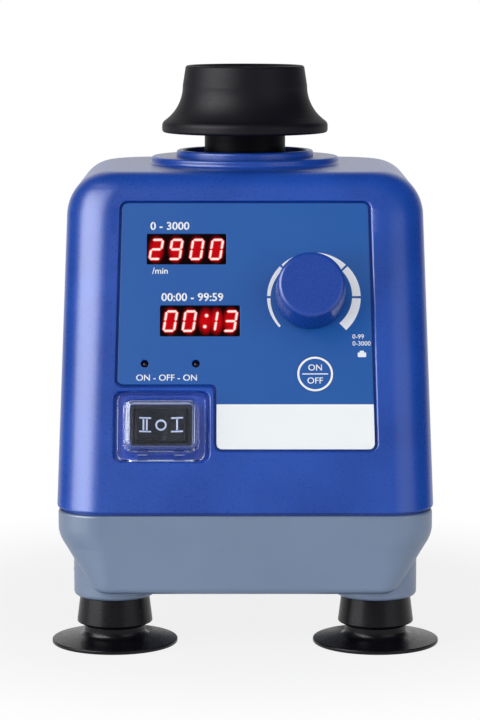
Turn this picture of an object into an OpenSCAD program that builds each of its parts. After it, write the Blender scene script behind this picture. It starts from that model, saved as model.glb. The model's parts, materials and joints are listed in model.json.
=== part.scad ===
// Bench-top vortex mixer: sloped control panel, orbiting rubber touch cup on a sprung motor carriage.
// Millimetres. Origin on the bench below the middle of the housing, +Z up, control panel facing -Y.

/* [Housing] */
// Width of the housing at the seam
housing_w = 125; // [120:1:135]
// Depth of the housing at the seam
housing_d = 155; // [150:1:165]
// Height of the housing from the seam to its flat top
housing_h = 108.7; // [107:0.1:116]
// Wall thickness of the moulded housing and base
wall = 3; // [2.6:0.1:3.4]
// Mould draft of the sides and back, in degrees
draft = 1; // [0.5:0.1:1.5]
// Lean of the control face from the vertical, in degrees
face_tilt = 23; // [21:0.5:25]
// Radius of the upright corners
corner_r = 15; // [12:0.5:17]
// Radius of the top edges at the sides
side_edge_r = 15; // [13:0.5:17]
// Radius of the top edge above the control face
front_edge_r = 9.5; // [8:0.5:11]
// Radius of the top edge at the back
rear_edge_r = 20; // [17:0.5:21]
// Distance of the drive axis from the back of the housing
axis_back = 56; // [54.5:0.5:58]

/* [Collar] */
// Diameter of the low step around the collar
step_d = 66.4; // [62:0.2:70]
// Height of the low step
step_h = 2.5; // [2:0.1:3.5]
// Outer diameter of the collar ring's flange
collar_d = 48.6; // [47.6:0.2:54]
// Height of the flange above the step
collar_h = 2.2; // [1.8:0.1:3]
// Inner diameter of the collar ring
collar_bore_d = 44.1; // [43.6:0.1:45]
// Thickness of the collar ring's sleeve
sleeve_t = 1.35; // [1.2:0.05:1.6]
// Depth of the well below the collar's top
well_depth = 13.2; // [12.6:0.1:14]
// Thickness of the drain lip around the opening in the well's floor
well_lip_t = 1.5; // [1.2:0.1:2]
// Height of the drain lip
well_lip_h = 2.2; // [1.8:0.1:2.4]

/* [Base] */
// Set-back of the base's sides from the housing's sides
base_inset = 0.4; // [0.3:0.1:1]
// Height of the base tray below the seam
base_h = 27.3; // [26.5:0.1:30]
// Height of the upright band at the tray's sides
base_band_h = 9.4; // [8:0.1:10]
// How far each side slants inward below the band
base_slant = 12.6; // [11:0.1:13.5]
// Height of the rounding between the band and the slant
base_blend = 3.2; // [2:0.1:4]
// Corner radius at the tray's lower edge
base_corner_r = 5; // [4.5:0.1:7]
// Radius of the tray's lower front and rear edges
base_edge_r = 2.5; // [2:0.1:3]
// Depth and height of the shadow groove at the seam
seam_groove = 0.6; // [0.4:0.1:0.9]
// Diameter of the foot bosses
boss_d = 27.1; // [26:0.1:28]
// How far the foot bosses stand out below the tray
boss_drop = 3.2; // [2.6:0.1:4]
// Distance of the foot axes from the housing's sides, front and back
foot_inset = 18.8; // [18:0.1:20]

/* [Feet] */
// Height of a suction foot
foot_h = 16.3; // [15:0.1:18]
// Diameter of the suction disc
disc_d = 42.6; // [40:0.2:44]
// Diameter of the conical collar's top
foot_top_d = 23.1; // [22:0.1:25]
// Diameter of the conical collar's lower edge
foot_skirt_d = 25.2; // [24.5:0.1:27]
// Height of the conical collar
foot_skirt_h = 9.3; // [8:0.1:10]
// Diameter of the neck between collar and disc
foot_neck_d = 20.5; // [19:0.1:21.5]
// Thickness of the disc's rim
rim_t = 1.3; // [1:0.1:1.6]
// Diameter of the foot studs
stud_d = 6; // [5:0.5:6]
// Width of the stud nuts across flats
nut_w = 10; // [10:0.5:11]

/* [Touch cup] */
// Diameter of the cup at its lip
cup_d = 42.2; // [40:0.1:43]
// How much wider the cup is above its flare than at its lip
cup_taper = 1.9; // [1:0.1:2.4]
// Height of the cup
cup_h = 23.6; // [22.5:0.1:26]
// Diameter of the flared flange
flange_d = 58.8; // [56:0.1:62]
// Radius of the concave flare
flare_r = 15; // [13:0.5:17]
// Radius of the flange's upper edge
flange_edge_r = 2.3; // [2:0.1:2.6]
// Radius of the flange's lower edge
flange_low_r = 1; // [0.6:0.1:1.6]
// Depth of the dished seat for the tube
dish_depth = 6.5; // [5:0.1:7.5]
// Width of the lip around the dish
lip_w = 2; // [1.6:0.1:3]
// Gap between the collar's top and the cup's underside
cup_gap = 6.3; // [5:0.1:8]
// Diameter of the post below the cup
post_d = 28.6; // [26:0.2:29.4]
// Diameter of the spigot inside the cup
spigot_d = 18; // [16:0.5:22]
// Height of the spigot
spigot_h = 11; // [9:0.1:11.5]
// Gap between the splash shield and the collar's bore when the head is at the side of its orbit
shield_gap = 0.35; // [0.3:0.05:0.5]
// Thickness of the splash shield
shield_t = 1.4; // [1.2:0.1:1.8]

/* [Drive] */
// Offset of the head from the motor axis, half of the orbit
orbit_r = 2; // [1.5:0.1:2.1]
// Diameter of the motor
motor_d = 56; // [52:1:58]
// Height of the motor's can
motor_h = 50; // [46:1:51]
// Wall of the motor's can
can_t = 2; // [1.5:0.1:2.5]
// Diameter of the motor shaft
shaft_d = 8; // [7:0.5:9]
// Outer diameter of the motor's bearings
motor_bearing_d = 22; // [21:0.5:24]
// Height of the motor's bearings
motor_bearing_h = 7; // [6:0.5:7.5]
// Diameter of the rotor core
rotor_d = 30; // [28:0.5:31]
// Air gap between rotor and stator
air_gap = 0.5; // [0.4:0.1:0.8]
// Outer diameter of the head bearing
bearing_d = 26; // [25:0.5:27]
// Bore of the head bearing
bearing_bore_d = 10; // [9:0.5:12]
// Height of the head bearing
bearing_h = 8; // [7:0.5:9]
// Diameter of the eccentric hub
hub_d = 36; // [34:0.5:38]
// Radius of the counterweight
weight_r = 27; // [25:0.5:28]
// Height of the counterweight
weight_h = 8; // [6:0.5:9]

/* [Carriage] */
// Travel of the head in touch mode
touch_travel = 1.5; // [1:0.1:1.7]
// Width of the motor plate
plate_w = 76; // [74:1:80]
// Depth of the motor plate
plate_l = 60; // [58:1:64]
// Thickness of the motor plate
plate_t = 4; // [3:0.5:5]
// Spacing of the guide posts across the mixer
post_span_x = 60; // [58:1:62]
// Spacing of the guide posts along the mixer
post_span_y = 44; // [42:1:46]
// Diameter of the guide posts
guide_d = 8; // [7:0.5:8]
// Diameter of the guide posts' flanges
guide_flange_d = 16; // [15:0.5:17]
// Thickness of the guide posts' flanges
guide_flange_t = 2; // [1.5:0.5:2.5]
// Outer diameter of the carriage springs
spring_d = 14.4; // [14:0.1:14.8]
// Installed length of the carriage springs
spring_l = 17.4; // [16.5:0.1:18.5]
// Wire diameter of the carriage springs
wire_d = 1.6; // [1.3:0.1:1.8]
// Number of coils of each carriage spring
coils = 5; // [4:0.5:6]
// Thickness of the ballast plate
ballast_t = 8; // [7:0.5:9]
// Width of the ballast plate
ballast_w = 84; // [82:1:88]
// Depth of the ballast plate
ballast_l = 78; // [74:1:80]
// How far the middle of the ballast plate lies behind the drive axis
ballast_back = 4; // [3:0.5:5]

/* [Panel] */
// Distance of the panel's recess from the housing's side edges
panel_side = 19; // [18.6:0.1:20]
// Distance of the panel's recess from the upper end of the control face
panel_top = 10.4; // [10:0.1:12]
// Distance of the panel's recess from the seam, along the slope
panel_bottom = 21.5; // [20.5:0.1:22.5]
// Corner radius of the recess
panel_r = 2.3; // [1.5:0.1:3]
// Depth of the recess
recess_t = 1.2; // [1.1:0.1:1.4]
// Thickness of the control overlay
overlay_t = 0.8; // [0.7:0.05:0.9]
// Gap between the overlay and the edge of its recess
panel_gap = 0.4; // [0.3:0.05:0.6]
// Width of each display window
window_w = 26.7; // [26:0.1:28]
// Height of each display window
window_h = 10.8; // [10.4:0.1:11.4]
// Place of the speed display across the panel
speed_x = -19.7; // [-20.2:0.1:-19]
// Place of the speed display up the slope
speed_u = 91.1; // [90:0.1:92]
// Place of the timer display across the panel
timer_x = -15.1; // [-16:0.1:-14.4]
// Place of the timer display up the slope
timer_u = 66; // [65:0.1:67]
// Depth of the display modules
module_t = 7.2; // [7:0.1:8]
// Place of the knob across the panel
knob_x = 21.8; // [21:0.1:22.6]
// Place of the knob up the slope
knob_u = 74.8; // [74:0.1:75.4]
// Diameter of the knob at its base
knob_d = 23.7; // [22.6:0.1:25]
// Diameter of the knob at its face
knob_face_d = 22.4; // [21:0.1:22.5]
// Length of the knob
knob_l = 13; // [12:0.5:15]
// Gap between the knob and the overlay
knob_lift = 0.9; // [0.8:0.1:1.4]
// Travel of the knob when it is pushed
push_travel = 0.5; // [0.3:0.1:0.6]
// Diameter of the knob's shaft
knob_shaft_d = 6; // [5.5:0.5:6.5]
// Place of the run/stop key across the panel
key_x = 23.2; // [22.6:0.1:23.8]
// Place of the run/stop key up the slope
key_u = 47.6; // [47:0.1:48.4]
// Diameter of the run/stop key
key_d = 12; // [11:0.1:12.6]
// Travel of the run/stop key
key_travel = 0.4; // [0.2:0.1:0.4]
// Place of the left indicator across the panel
led_x = -33.4; // [-34:0.1:-32.8]
// Distance between the two indicators
led_pitch = 17; // [16.4:0.1:17.4]
// Place of the indicators up the slope
led_u = 51.2; // [50.6:0.1:51.8]
// Diameter of the indicator holes
led_hole_d = 2.7; // [2.4:0.1:3]

/* [Rocker switch] */
// Place of the switch across the panel
switch_x = -27.8; // [-28:0.1:-27.6]
// Place of the switch up the slope
switch_u = 29.6; // [29.2:0.1:30]
// Width of the switch recess
pocket_w = 31.4; // [31:0.1:31.6]
// Height of the switch recess
pocket_h = 24; // [23.6:0.1:24.4]
// Depth of the switch recess
pocket_t = 2; // [1.6:0.1:2.2]
// Width of the clear boot
boot_w = 29.2; // [28.8:0.1:30]
// Height of the clear boot, along the slope
boot_h = 22.9; // [22:0.1:23.2]
// How far the boot stands out from the bottom of its recess
boot_t = 7.4; // [7.2:0.1:8.4]
// Wall of the clear boot
boot_wall = 1; // [0.7:0.05:1.1]
// Thickness of the boot's skirt
skirt_t = 2.6; // [2.2:0.1:3]
// Width of the boot's dome
dome_w = 24.4; // [24:0.1:25]
// Height of the boot's dome, along the slope
dome_h = 17.8; // [17.4:0.1:18.2]
// Width of the switch's frame
frame_w = 20.8; // [20.4:0.1:21]
// Height of the switch's frame
frame_h = 14.4; // [14:0.1:14.6]
// Thickness of the switch's frame
frame_t = 2; // [1.8:0.1:2.2]
// Depth of the switch body behind the recess
switch_l = 15; // [14:0.5:17]
// Tilt of the rocker to each side, in degrees
rocker_tilt = 11; // [9:0.5:12]

/* [Mains inlet] */
// Height of the inlet's middle above the seam
inlet_up = 29; // [28.5:0.5:32]
// Width of the inlet's flange
inlet_w = 50; // [48:0.5:52]
// Height of the inlet's flange
inlet_h = 37; // [36:0.5:39]
// Thickness of the inlet's flange
inlet_t = 2.5; // [2:0.1:3]
// Spacing of the inlet's screws
inlet_pitch = 40; // [38:0.5:41]
// Depth of the inlet behind its flange
inlet_l = 20; // [19.5:0.5:21]

/* [Electronics] */
// Thickness of the circuit boards
board_t = 1.6; // [1.4:0.1:2]
// Width of the power board
power_w = 88; // [80:1:90]
// Depth of the power board
power_l = 40; // [36:1:42]
// Height of the power board above the tray's floor
power_up = 11; // [10.5:0.5:13]

/* [Fits] */
// Radial clearance of a running fit
running = 0.05; // [0.03:0.01:0.08]
// Clearance between moving parts that must not touch
clear = 0.3; // [0.3:0.05:0.5]
// Clearance of the tray's lip inside the housing
lip_gap = 0.2; // [0.15:0.05:0.4]

/* [Hidden] */

$fn = 48;
eps = 0.01;

axis_y = housing_d / 2 - axis_back;

// Heights that the stack of parts gives
base_z = foot_h + boss_drop;
seam_z = base_z + base_h;
top_z = seam_z + housing_h;
collar_z = top_z + step_h + collar_h;
cup_z = collar_z + cup_gap;
well_z = collar_z - well_depth;
floor_z = base_z + wall;
ballast_z = floor_z + ballast_t;
spring_seat = 0.1;
spring_z = ballast_z + guide_flange_t + spring_seat;
plate_z = spring_z + spring_l + spring_seat;
can_z = plate_z + plate_t;
cap_z = can_z + motor_h;
cap_t = 3;
hub_z = cap_z + cap_t + 2;
hub_grip = 13;
bearing_z = hub_z + hub_grip;
carrier_foot_z = bearing_z + bearing_h + 1;
head_y = axis_y - orbit_r;
foot_x = housing_w / 2 - foot_inset;
foot_y = housing_d / 2 - foot_inset;
well_floor_t = 2;
well_bore_r = post_d / 2 + orbit_r + 1.2;
shield_z = well_z + well_floor_t + well_lip_h + touch_travel + 0.6;
shield_d = collar_bore_d - 2 * (orbit_r + shield_gap);
sleeve_r = collar_bore_d / 2 + sleeve_t;
boss_top_z = floor_z + 3;
bushing_r = guide_d / 2 + 1.5;
washer_d = 13;
washer_t = 1.5;
stop_thread_l = 11;
guide_thread_d = 6;

// Foot studs, moulded into the rubber by their heads
stud_in = 9;
stud_head_d = 13;
stud_head_t = 2;
stud_nut_h = 0.8 * stud_d;

// Screw columns that join housing and base
column_x = housing_w / 2 - 10.5;
column_y = 36;
column_d = 9;
column_h = 26;
screw_d = 4;
screw_sink = 6.8;
board_screw_d = 2.5;

// Power board
power_y = -housing_d / 2 + 8 + power_l / 2;
power_z = floor_z + power_up;
power_screw_in = 18;

// ---- outline helpers ----

// Corner p1 of the path p0-p1-p2, rounded by an arc of radius r
function unit(v) = v / norm(v);
function corner_arc(p0, p1, p2, r, n) =
    let (a = unit(p0 - p1), b = unit(p2 - p1), half = acos(a * b) / 2, c = p1 + unit(a + b) * r / sin(half),
         s = p1 + a * r / tan(half) - c, e = p1 + b * r / tan(half) - c, start = atan2(s.y, s.x),
         sweep = (atan2(e.y, e.x) - start + 540) % 360 - 180)
    [for (k = [0:n]) c + r * [cos(start + sweep * k / n), sin(start + sweep * k / n)]];
function rounded(p, r, n = 5) =
    [for (i = [0:len(p) - 1]) each corner_arc(p[(i + len(p) - 1) % len(p)], p[i], p[(i + 1) % len(p)], r, n)];
function box_outline(w, h) = [[-w / 2, -h / 2], [w / 2, -h / 2], [w / 2, h / 2], [-w / 2, h / 2]];
function arc(cx, cy, r, a0, a1, n) = [for (k = [0:n])
    [cx + r * cos(a0 + (a1 - a0) * k / n), cy + r * sin(a0 + (a1 - a0) * k / n)]];

// Pan head sizes for a thread
function pan_d(d) = 1.9 * d;
function pan_h(d) = 0.65 * d;

module plate(w, h, t, r) { linear_extrude(t) polygon(rounded(box_outline(w, h), r)); }

// One level of a moulding: a rectangle whose corners have a radius across and one along, front and back
function level(w, front, back, rf, rb, z, n = 7) = concat(
    [for (k = [0:n]) [w - rf.x + rf.x * sin(90 * k / n), front + rf.y - rf.y * cos(90 * k / n), z]],
    [for (k = [0:n]) [w - rb.x + rb.x * cos(90 * k / n), back - rb.y + rb.y * sin(90 * k / n), z]],
    [for (k = [0:n]) [rb.x - w - rb.x * sin(90 * k / n), back - rb.y + rb.y * cos(90 * k / n), z]],
    [for (k = [0:n]) [rf.x - w - rf.x * cos(90 * k / n), front + rf.y - rf.y * sin(90 * k / n), z]]);

// Closed solid through a stack of levels
module loft(levels) {
    n = len(levels[0]);
    m = len(levels);
    polyhedron(points = [for (l = levels) each l], faces = concat(
        [[for (i = [0:n - 1]) i]],
        [for (j = [0:m - 2], i = [0:n - 1]) [j * n + i, (j + 1) * n + i, (j + 1) * n + (i + 1) % n]],
        [for (j = [0:m - 2], i = [0:n - 1]) [j * n + i, (j + 1) * n + (i + 1) % n, j * n + (i + 1) % n]],
        [[for (i = [n - 1:-1:0]) (m - 1) * n + i]]));
}

// ---- housing form: every function takes the inset from the outer skin ----

side_centre_z = top_z - side_edge_r;
side_centre_x = housing_w / 2 - (side_centre_z - seam_z) * tan(draft) - side_edge_r / cos(draft);
front_centre_z = top_z - front_edge_r;
front_centre_y = -housing_d / 2 + (front_centre_z - seam_z) * tan(face_tilt) + front_edge_r / cos(face_tilt);
rear_centre_z = top_z - rear_edge_r;
rear_centre_y = housing_d / 2 - (rear_centre_z - seam_z) * tan(draft) - rear_edge_r / cos(draft);
top_edge_r = max(side_edge_r, rear_edge_r);
// Corner radii of the flat top
front_corner_r = 4;
rear_corner_r = 14;

function half_w(z, inset) =
    z < side_centre_z + (side_edge_r - inset) * sin(draft)
    ? housing_w / 2 - (z - seam_z) * tan(draft) - inset / cos(draft)
    : side_centre_x + sqrt(max(0, pow(side_edge_r - inset, 2) - pow(z - side_centre_z, 2)));
function front_y(z, inset) =
    z < front_centre_z + (front_edge_r - inset) * sin(face_tilt)
    ? -housing_d / 2 + (z - seam_z) * tan(face_tilt) + inset / cos(face_tilt)
    : front_centre_y - sqrt(max(0, pow(front_edge_r - inset, 2) - pow(z - front_centre_z, 2)));
function rear_y(z, inset) =
    z < rear_centre_z + (rear_edge_r - inset) * sin(draft)
    ? housing_d / 2 - (z - seam_z) * tan(draft) - inset / cos(draft)
    : rear_centre_y + sqrt(max(0, pow(rear_edge_r - inset, 2) - pow(z - rear_centre_z, 2)));
function housing_level(z, inset) =
    let (w = half_w(z, inset), f = front_y(z, inset), b = rear_y(z, inset), r = corner_r - inset,
         x = w - side_centre_x)
    level(w, f, b, [min(r, x + front_corner_r), min(r, front_centre_y - f + front_corner_r)],
          [min(r, x + rear_corner_r), min(r, b - rear_centre_y + rear_corner_r)], z);
module housing_form(inset, start_z, levels = 11) {
    loft(concat([housing_level(start_z, inset)],
        [for (k = [0:levels])
            housing_level(top_z - inset - (top_edge_r - inset) * pow(1 - k / levels, 2), inset)]));
}

// Frame of the control face: x across, y up the slope from the seam, z out of the face
module on_face(x = 0, u = 0, out = 0) {
    translate([0, -housing_d / 2, seam_z]) rotate([90 - face_tilt, 0, 0]) translate([x, u, out]) children();
}

// Outline of the panel's recess, smaller by the gap given, with its notch for the switch
function face_half_w(u) = housing_w / 2 - u * cos(face_tilt) * tan(draft) - panel_side;
face_l = housing_h / cos(face_tilt);
notch_x = switch_x + pocket_w / 2 + 2.2;
notch_u = switch_u + pocket_h / 2 + 2;
function panel_outline(gap) =
    let (top = face_l - panel_top, low = panel_bottom)
    [[-face_half_w(top) + gap, top - gap], [-face_half_w(notch_u) + gap, notch_u + gap],
     [notch_x + gap, notch_u + gap], [notch_x + gap, low + gap], [face_half_w(low) - gap, low + gap],
     [face_half_w(top) - gap, top - gap]];

overlay_out = overlay_t - recess_t;
window_gap = 0.15;
module_w = window_w + 3.7;
module_h = window_h + 3.6;
board_out = -recess_t - module_t;
standoff_d = 6;
display_w = 84;
display_top = 101.5;
display_low = 43.8;
display_screw_x = display_w / 2 - 3.4;
display_screw_in = 3.2;
stem_d = 5;
stem_l = 3.4;
tact_h = module_t - stem_l;
led_d = 2.4;

// Encoder: body behind the wall, rotor in its cavity, shaft with a thin foot in the rotor
bushing_d = 7;
encoder_l = -board_out - wall - 0.1;
encoder_floor = 1;
rotor_lift = 0.5;
rotor_t = 2;
shaft_foot_d = 4;
nut_t = 2;
knob_out = overlay_out + knob_lift;
shaft_top = knob_out + knob_l - 3.5;
shaft_flat_l = 8;

// Rocker switch
frame_rim = 1.3;
pivot_out = -pocket_t + 0.2;
rocker_gap = clear - pivot_out * sin(rocker_tilt);
body_wall = 0.5;
rocker_w = frame_w - 2 * frame_rim - 2 * rocker_gap;
rocker_h = frame_h - 2 * frame_rim - 2 * clear;
cutout_w = rocker_w + 2 * (rocker_gap + body_wall);
cutout_h = rocker_h + 2 * (clear + body_wall);
boot_r = 3;
boot_edge = 0.5;
dome_draft = 0.8;
shoulder = 1.5;
clip_pitch = 12.2;
clip_w = 3.6;
clip_h = 1.8;
clip_t = 1.6;
pivot_d = 2.4;
tip_out = 2.2;

// Mains inlet: socket above, fuse drawer below
inlet_z = seam_z + inlet_up;
inlet_body_w = 27.4;
inlet_body_h = 32;
inlet_screw_d = 3;
socket_w = 24.4;
socket_h = 16.4;
socket_up = 5.6;
socket_l = 16;
socket_cut = 4.5;
drawer_w = 22;
drawer_h = 8.4;
drawer_up = -11;
drawer_l = 18;
fuse_d = 5;
fuse_l = 20;
fuse_up = 1.4;
fuse_in = 8;
blade_w = 2;
blade_h = 4;
blade_l = 5;
blade_places = [[-7, socket_up - 1], [7, socket_up - 1], [0, socket_up + 3]];

// Frame on the rear wall: x to the right seen from behind, y up, z out of the wall
module on_rear(x = 0, up = 0, out = 0) {
    translate([0, rear_y(inlet_z, 0), inlet_z]) rotate([90 - draft, 0, 180]) translate([x, up, out])
        children();
}

module standoff_places() {
    for (x = [-display_screw_x, display_screw_x],
        u = [display_low + display_screw_in, display_top - display_screw_in])
        on_face(x, u, board_out) children();
}

module column_places() { for (sx = [-1, 1], sy = [-1, 1]) translate([sx * column_x, sy * column_y, 0])
    children(); }

// ---- housing ----

module housing_shell() {
    color("royalblue") difference() {
        union() {
            difference() {
                union() {
                    housing_form(0, seam_z);
                    translate([0, axis_y, top_z - wall]) rotate_extrude($fn = 96)
                        polygon(concat([[0, 0], [step_d / 2 + 1.2, 0], [step_d / 2 + 1.2, wall]],
                            arc(step_d / 2 + 1.2, wall + 1.2, 1.2, 270, 180, 4),
                            arc(step_d / 2 - 0.8, wall + step_h - 0.8, 0.8, 0, 90, 4), [[0, wall + step_h]]));
                }
                housing_form(wall, seam_z - 1);
            }
            // screw columns with ribs to the side walls
            column_places() translate([0, 0, seam_z]) cylinder(d = column_d, h = column_h);
            for (sx = [-1, 1], sy = [-1, 1])
                translate([sx * (column_x + 4) - 4, sy * column_y - 1.25, seam_z + 5])
                    cube([8, 2.5, column_h - 5]);
            // standoffs of the display board
            standoff_places() cylinder(d = standoff_d, h = -board_out - wall / 2);
            // pad behind the switch recess
            on_face(switch_x, switch_u, -pocket_t - 1.6) plate(pocket_w + 3, pocket_h + 2, 2, 3);
        }
        // sleeve of the collar ring
        translate([0, axis_y, well_z - 10]) cylinder(r = sleeve_r + running, h = well_depth + 20);
        on_face(0, 0, -recess_t) linear_extrude(10) polygon(rounded(panel_outline(0), panel_r));
        on_face(switch_x, switch_u, -pocket_t) plate(pocket_w, pocket_h, 10, 2.6);
        on_face(switch_x, switch_u, -10) plate(cutout_w + 0.2, cutout_h + 0.2, 10, 0.6);
        for (at = [[speed_x, speed_u], [timer_x, timer_u]])
            on_face(at.x, at.y, -10) plate(module_w + 2 * clear, module_h + 2 * clear, 12, 0.5);
        on_face(knob_x, knob_u, -10) cylinder(d = bushing_d + 0.2, h = 12);
        on_face(key_x, key_u, -10) cylinder(d = stem_d + 2 * clear, h = 12);
        for (x = [led_x, led_x + led_pitch]) on_face(x, led_u, -10) cylinder(d = led_d + 0.3, h = 12);
        column_places() translate([0, 0, seam_z - 1]) cylinder(d = screw_d + 2 * running, h = column_h - 3);
        standoff_places() translate([0, 0, -1]) cylinder(d = board_screw_d + 2 * running, h = 6);
        // opening of the mains inlet
        on_rear(0, 0, -10) plate(inlet_body_w + 2 * clear, inlet_body_h + 2 * clear, 15, 2);
        for (sx = [-1, 1]) on_rear(sx * inlet_pitch / 2, 0, -10)
            cylinder(d = inlet_screw_d + 2 * running, h = 15);
    }
}

module collar_ring() {
    bore = collar_bore_d / 2;
    h = well_depth;
    color("royalblue") translate([0, axis_y, well_z]) rotate_extrude($fn = 96) polygon(concat(
        [[well_bore_r, 0], [sleeve_r, 0], [sleeve_r, h - collar_h], [collar_d / 2, h - collar_h]],
        arc(collar_d / 2 - 0.9, h - 0.9, 0.9, 0, 90, 5),
        arc(bore + 0.5, h - 0.5, 0.5, 90, 180, 4),
        [[bore, well_floor_t], [well_bore_r + well_lip_t, well_floor_t],
            [well_bore_r + well_lip_t, well_floor_t + well_lip_h],
         [well_bore_r, well_floor_t + well_lip_h]]));
}

// ---- base ----

base_w = housing_w / 2 - base_inset;
base_d = housing_d / 2 - base_inset;
slant_h = base_h - base_band_h;
lip_h = 4;
slant_top_z = base_z + slant_h;
slant_wall = 1 / cos(atan(base_slant / slant_h));
// Upright band above, slant below, and a parabola between the two
function base_half_w(z, inset) =
    let (t = z - slant_top_z, s = base_slant / slant_h, b = base_blend)
    base_w - (t > b ? 0 : t < -b ? -s * t : s * pow(b - t, 2) / (4 * b))
        - (t < 0 ? inset * slant_wall : inset);
// The corners are full at the band and get tighter as the slant cuts into them
function base_corner(z) =
    let (full = corner_r - base_inset, cut = base_half_w(base_z, 0) - base_corner_r)
        min(full, base_half_w(z, 0) - cut);
function base_level(z, inset, edge = 0) =
    let (r = base_corner(z) - inset - edge)
    level(base_half_w(z, inset) - edge, -base_d + inset + edge, base_d - inset - edge, [r, r], [r, r], z);
// Levels of the tray: a rounded lower edge on the outside and a plain floor on the inside
function base_low(low, inset) =
    inset > 0 ? [base_level(low, inset)]
    : [for (a = [90:-22.5:0]) base_level(base_z + base_edge_r * (1 - sin(a)), 0, base_edge_r * (1 - cos(a)))];
module base_form(inset, low) {
    loft(concat(base_low(low, inset),
        [for (k = [-1:0.5:1]) base_level(slant_top_z + k * base_blend - (inset > 0 ? eps : 0), inset)],
        [base_level(inset > 0 ? seam_z + 1 : seam_z - seam_groove, inset)]));
}

module base_tray() {
    lip = wall + lip_gap;
    lip_t = 1.5;
    color("lightsteelblue") difference() {
        union() {
            difference() {
                union() {
                    base_form(0, base_z);
                    loft([base_level(seam_z - seam_groove - 1, seam_groove),
                        base_level(seam_z, seam_groove)]);
                    loft([housing_level(seam_z - 2, lip), housing_level(seam_z + lip_h, lip)]);
                    foot_places() translate([0, 0, foot_h]) rotate_extrude() polygon(concat(
                        [[0, 0]], arc(boss_d / 2 - 1, 1, 1, 270, 360, 4),
                            [[boss_d / 2, base_z + slant_h - foot_h],
                        [0, base_z + slant_h - foot_h]]));
                }
                base_form(wall, floor_z);
                loft([housing_level(seam_z - 3, lip + lip_t),
                    housing_level(seam_z + lip_h + 1, lip + lip_t)]);
                foot_places() translate([0, 0, floor_z]) cylinder(d = boss_d - 2 * wall, h = slant_h);
            }
            foot_places() translate([0, 0, foot_h + 1])
                cylinder(d = boss_d - 2 * wall + 0.2, h = boss_top_z - foot_h - 1);
            intersection() {
                column_places() translate([0, 0, base_z]) cylinder(d = column_d + 3.4, h = base_h);
                base_form(0, base_z);
            }
            power_screw_places() translate([0, 0, floor_z - 1]) cylinder(d = 7, h = power_up + 1);
        }
        foot_places() translate([0, 0, foot_h - 1]) cylinder(d = stud_d + 2 * running, h = boss_drop + 20);
        column_places() {
            translate([0, 0, base_z - 1]) cylinder(d = pan_d(screw_d) + 0.8, h = base_h + 1 - screw_sink);
            translate([0, 0, base_z]) cylinder(d = screw_d + 2 * running, h = base_h + 1);
        }
        ballast_screw_places() translate([0, 0, base_z - 1])
            cylinder(d = screw_d + 2 * running, h = wall + 2);
        power_screw_places() translate([0, 0, power_z - 7]) cylinder(d = board_screw_d + 2 * running, h = 8);
    }
}

module foot_places() {
    for (sx = [-1, 1], sy = [-1, 1]) translate([sx * foot_x, sy * foot_y, 0]) children();
}

// Suction foot: conical collar, neck and a shallow cone with a hollow underside
module suction_foot(sx, sy) {
    neck = foot_neck_d / 2;
    disc = disc_d / 2;
    root = disc_d / 2 * 0.52;
    skirt_z = foot_h - foot_skirt_h;
    cone_z = 3.4;
    color("#1c1c20") translate([sx * foot_x, sy * foot_y, 0]) difference() {
        rotate_extrude($fn = 72) polygon(concat(
            [[0, 2.6], [4, 2.6], [disc - 2.6, 0], [disc - 0.4, 0], [disc, 0.4], [disc, rim_t - 0.3],
                [disc - 0.4, rim_t]],
            [[root + 2.6, cone_z - 0.5]], arc(neck + 1, cone_z + 1.1, 1, 270, 180, 4),
            [[neck, skirt_z - 1], [foot_skirt_d / 2 - 0.6, skirt_z], [foot_skirt_d / 2, skirt_z + 0.6],
             [foot_top_d / 2, foot_h], [0, foot_h]]));
        translate([0, 0, foot_h - stud_in]) cylinder(d = stud_d + 2 * running, h = stud_in + 1);
        translate([0, 0, foot_h - stud_in])
            cylinder(d = stud_head_d + 2 * running, h = stud_head_t + 2 * running);
    }
}
module foot_studs() {
    color("silver") foot_places() {
        translate([0, 0, foot_h - stud_in + running]) cylinder(d = stud_head_d, h = stud_head_t);
        translate([0, 0, foot_h - stud_in + running])
            cylinder(d = stud_d, h = stud_in + boss_top_z - foot_h + stud_nut_h + 2);
    }
}

module foot_nuts() {
    color("silver") foot_places() translate([0, 0, boss_top_z]) difference() {
        cylinder(d = nut_w / cos(30), h = stud_nut_h, $fn = 6);
        translate([0, 0, -1]) cylinder(d = stud_d + 2 * running, h = stud_nut_h + 2);
    }
}

// Pan head screw, driven along +Z from its seat at the origin
module pan_screw(d, l) {
    head_r = pan_d(d) / 2;
    soft = d / 5;
    cylinder(d = d, h = l + eps);
    translate([0, 0, -pan_h(d)]) rotate_extrude()
        polygon([[0, 0], [head_r - soft, 0], [head_r, soft], [head_r, pan_h(d)], [0, pan_h(d)]]);
}

module housing_screws() {
    color("silver") column_places() translate([0, 0, seam_z - screw_sink])
        pan_screw(screw_d, screw_sink + column_h - 5);
}

// ---- ballast and carriage ----

ballast_y = axis_y + ballast_back;
module ballast_screw_places() {
    for (sx = [-1, 1], y = [ballast_y - ballast_l / 2 + 7, ballast_y + 4])
        translate([sx * (ballast_w / 2 - 5), y, 0]) children();
}
module post_places() {
    for (sx = [-1, 1], sy = [-1, 1]) translate([sx * post_span_x / 2, axis_y + sy * post_span_y / 2, 0])
        children();
}

module ballast_plate() {
    color("dimgray") translate([0, ballast_y, floor_z]) difference() {
        plate(ballast_w, ballast_l, ballast_t, 3);
        translate([0, -ballast_y, 0]) foot_places() translate([0, 0, -1])
            cylinder(d = boss_d + 4, h = ballast_t + 2);
        translate([0, -ballast_y, 0]) post_places() translate([0, 0, 1])
            cylinder(d = guide_thread_d + 2 * running, h = ballast_t);
        translate([0, -ballast_y, 0]) ballast_screw_places() translate([0, 0, -1])
            cylinder(d = screw_d + 2 * running, h = ballast_t + 2);
    }
}

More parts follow.
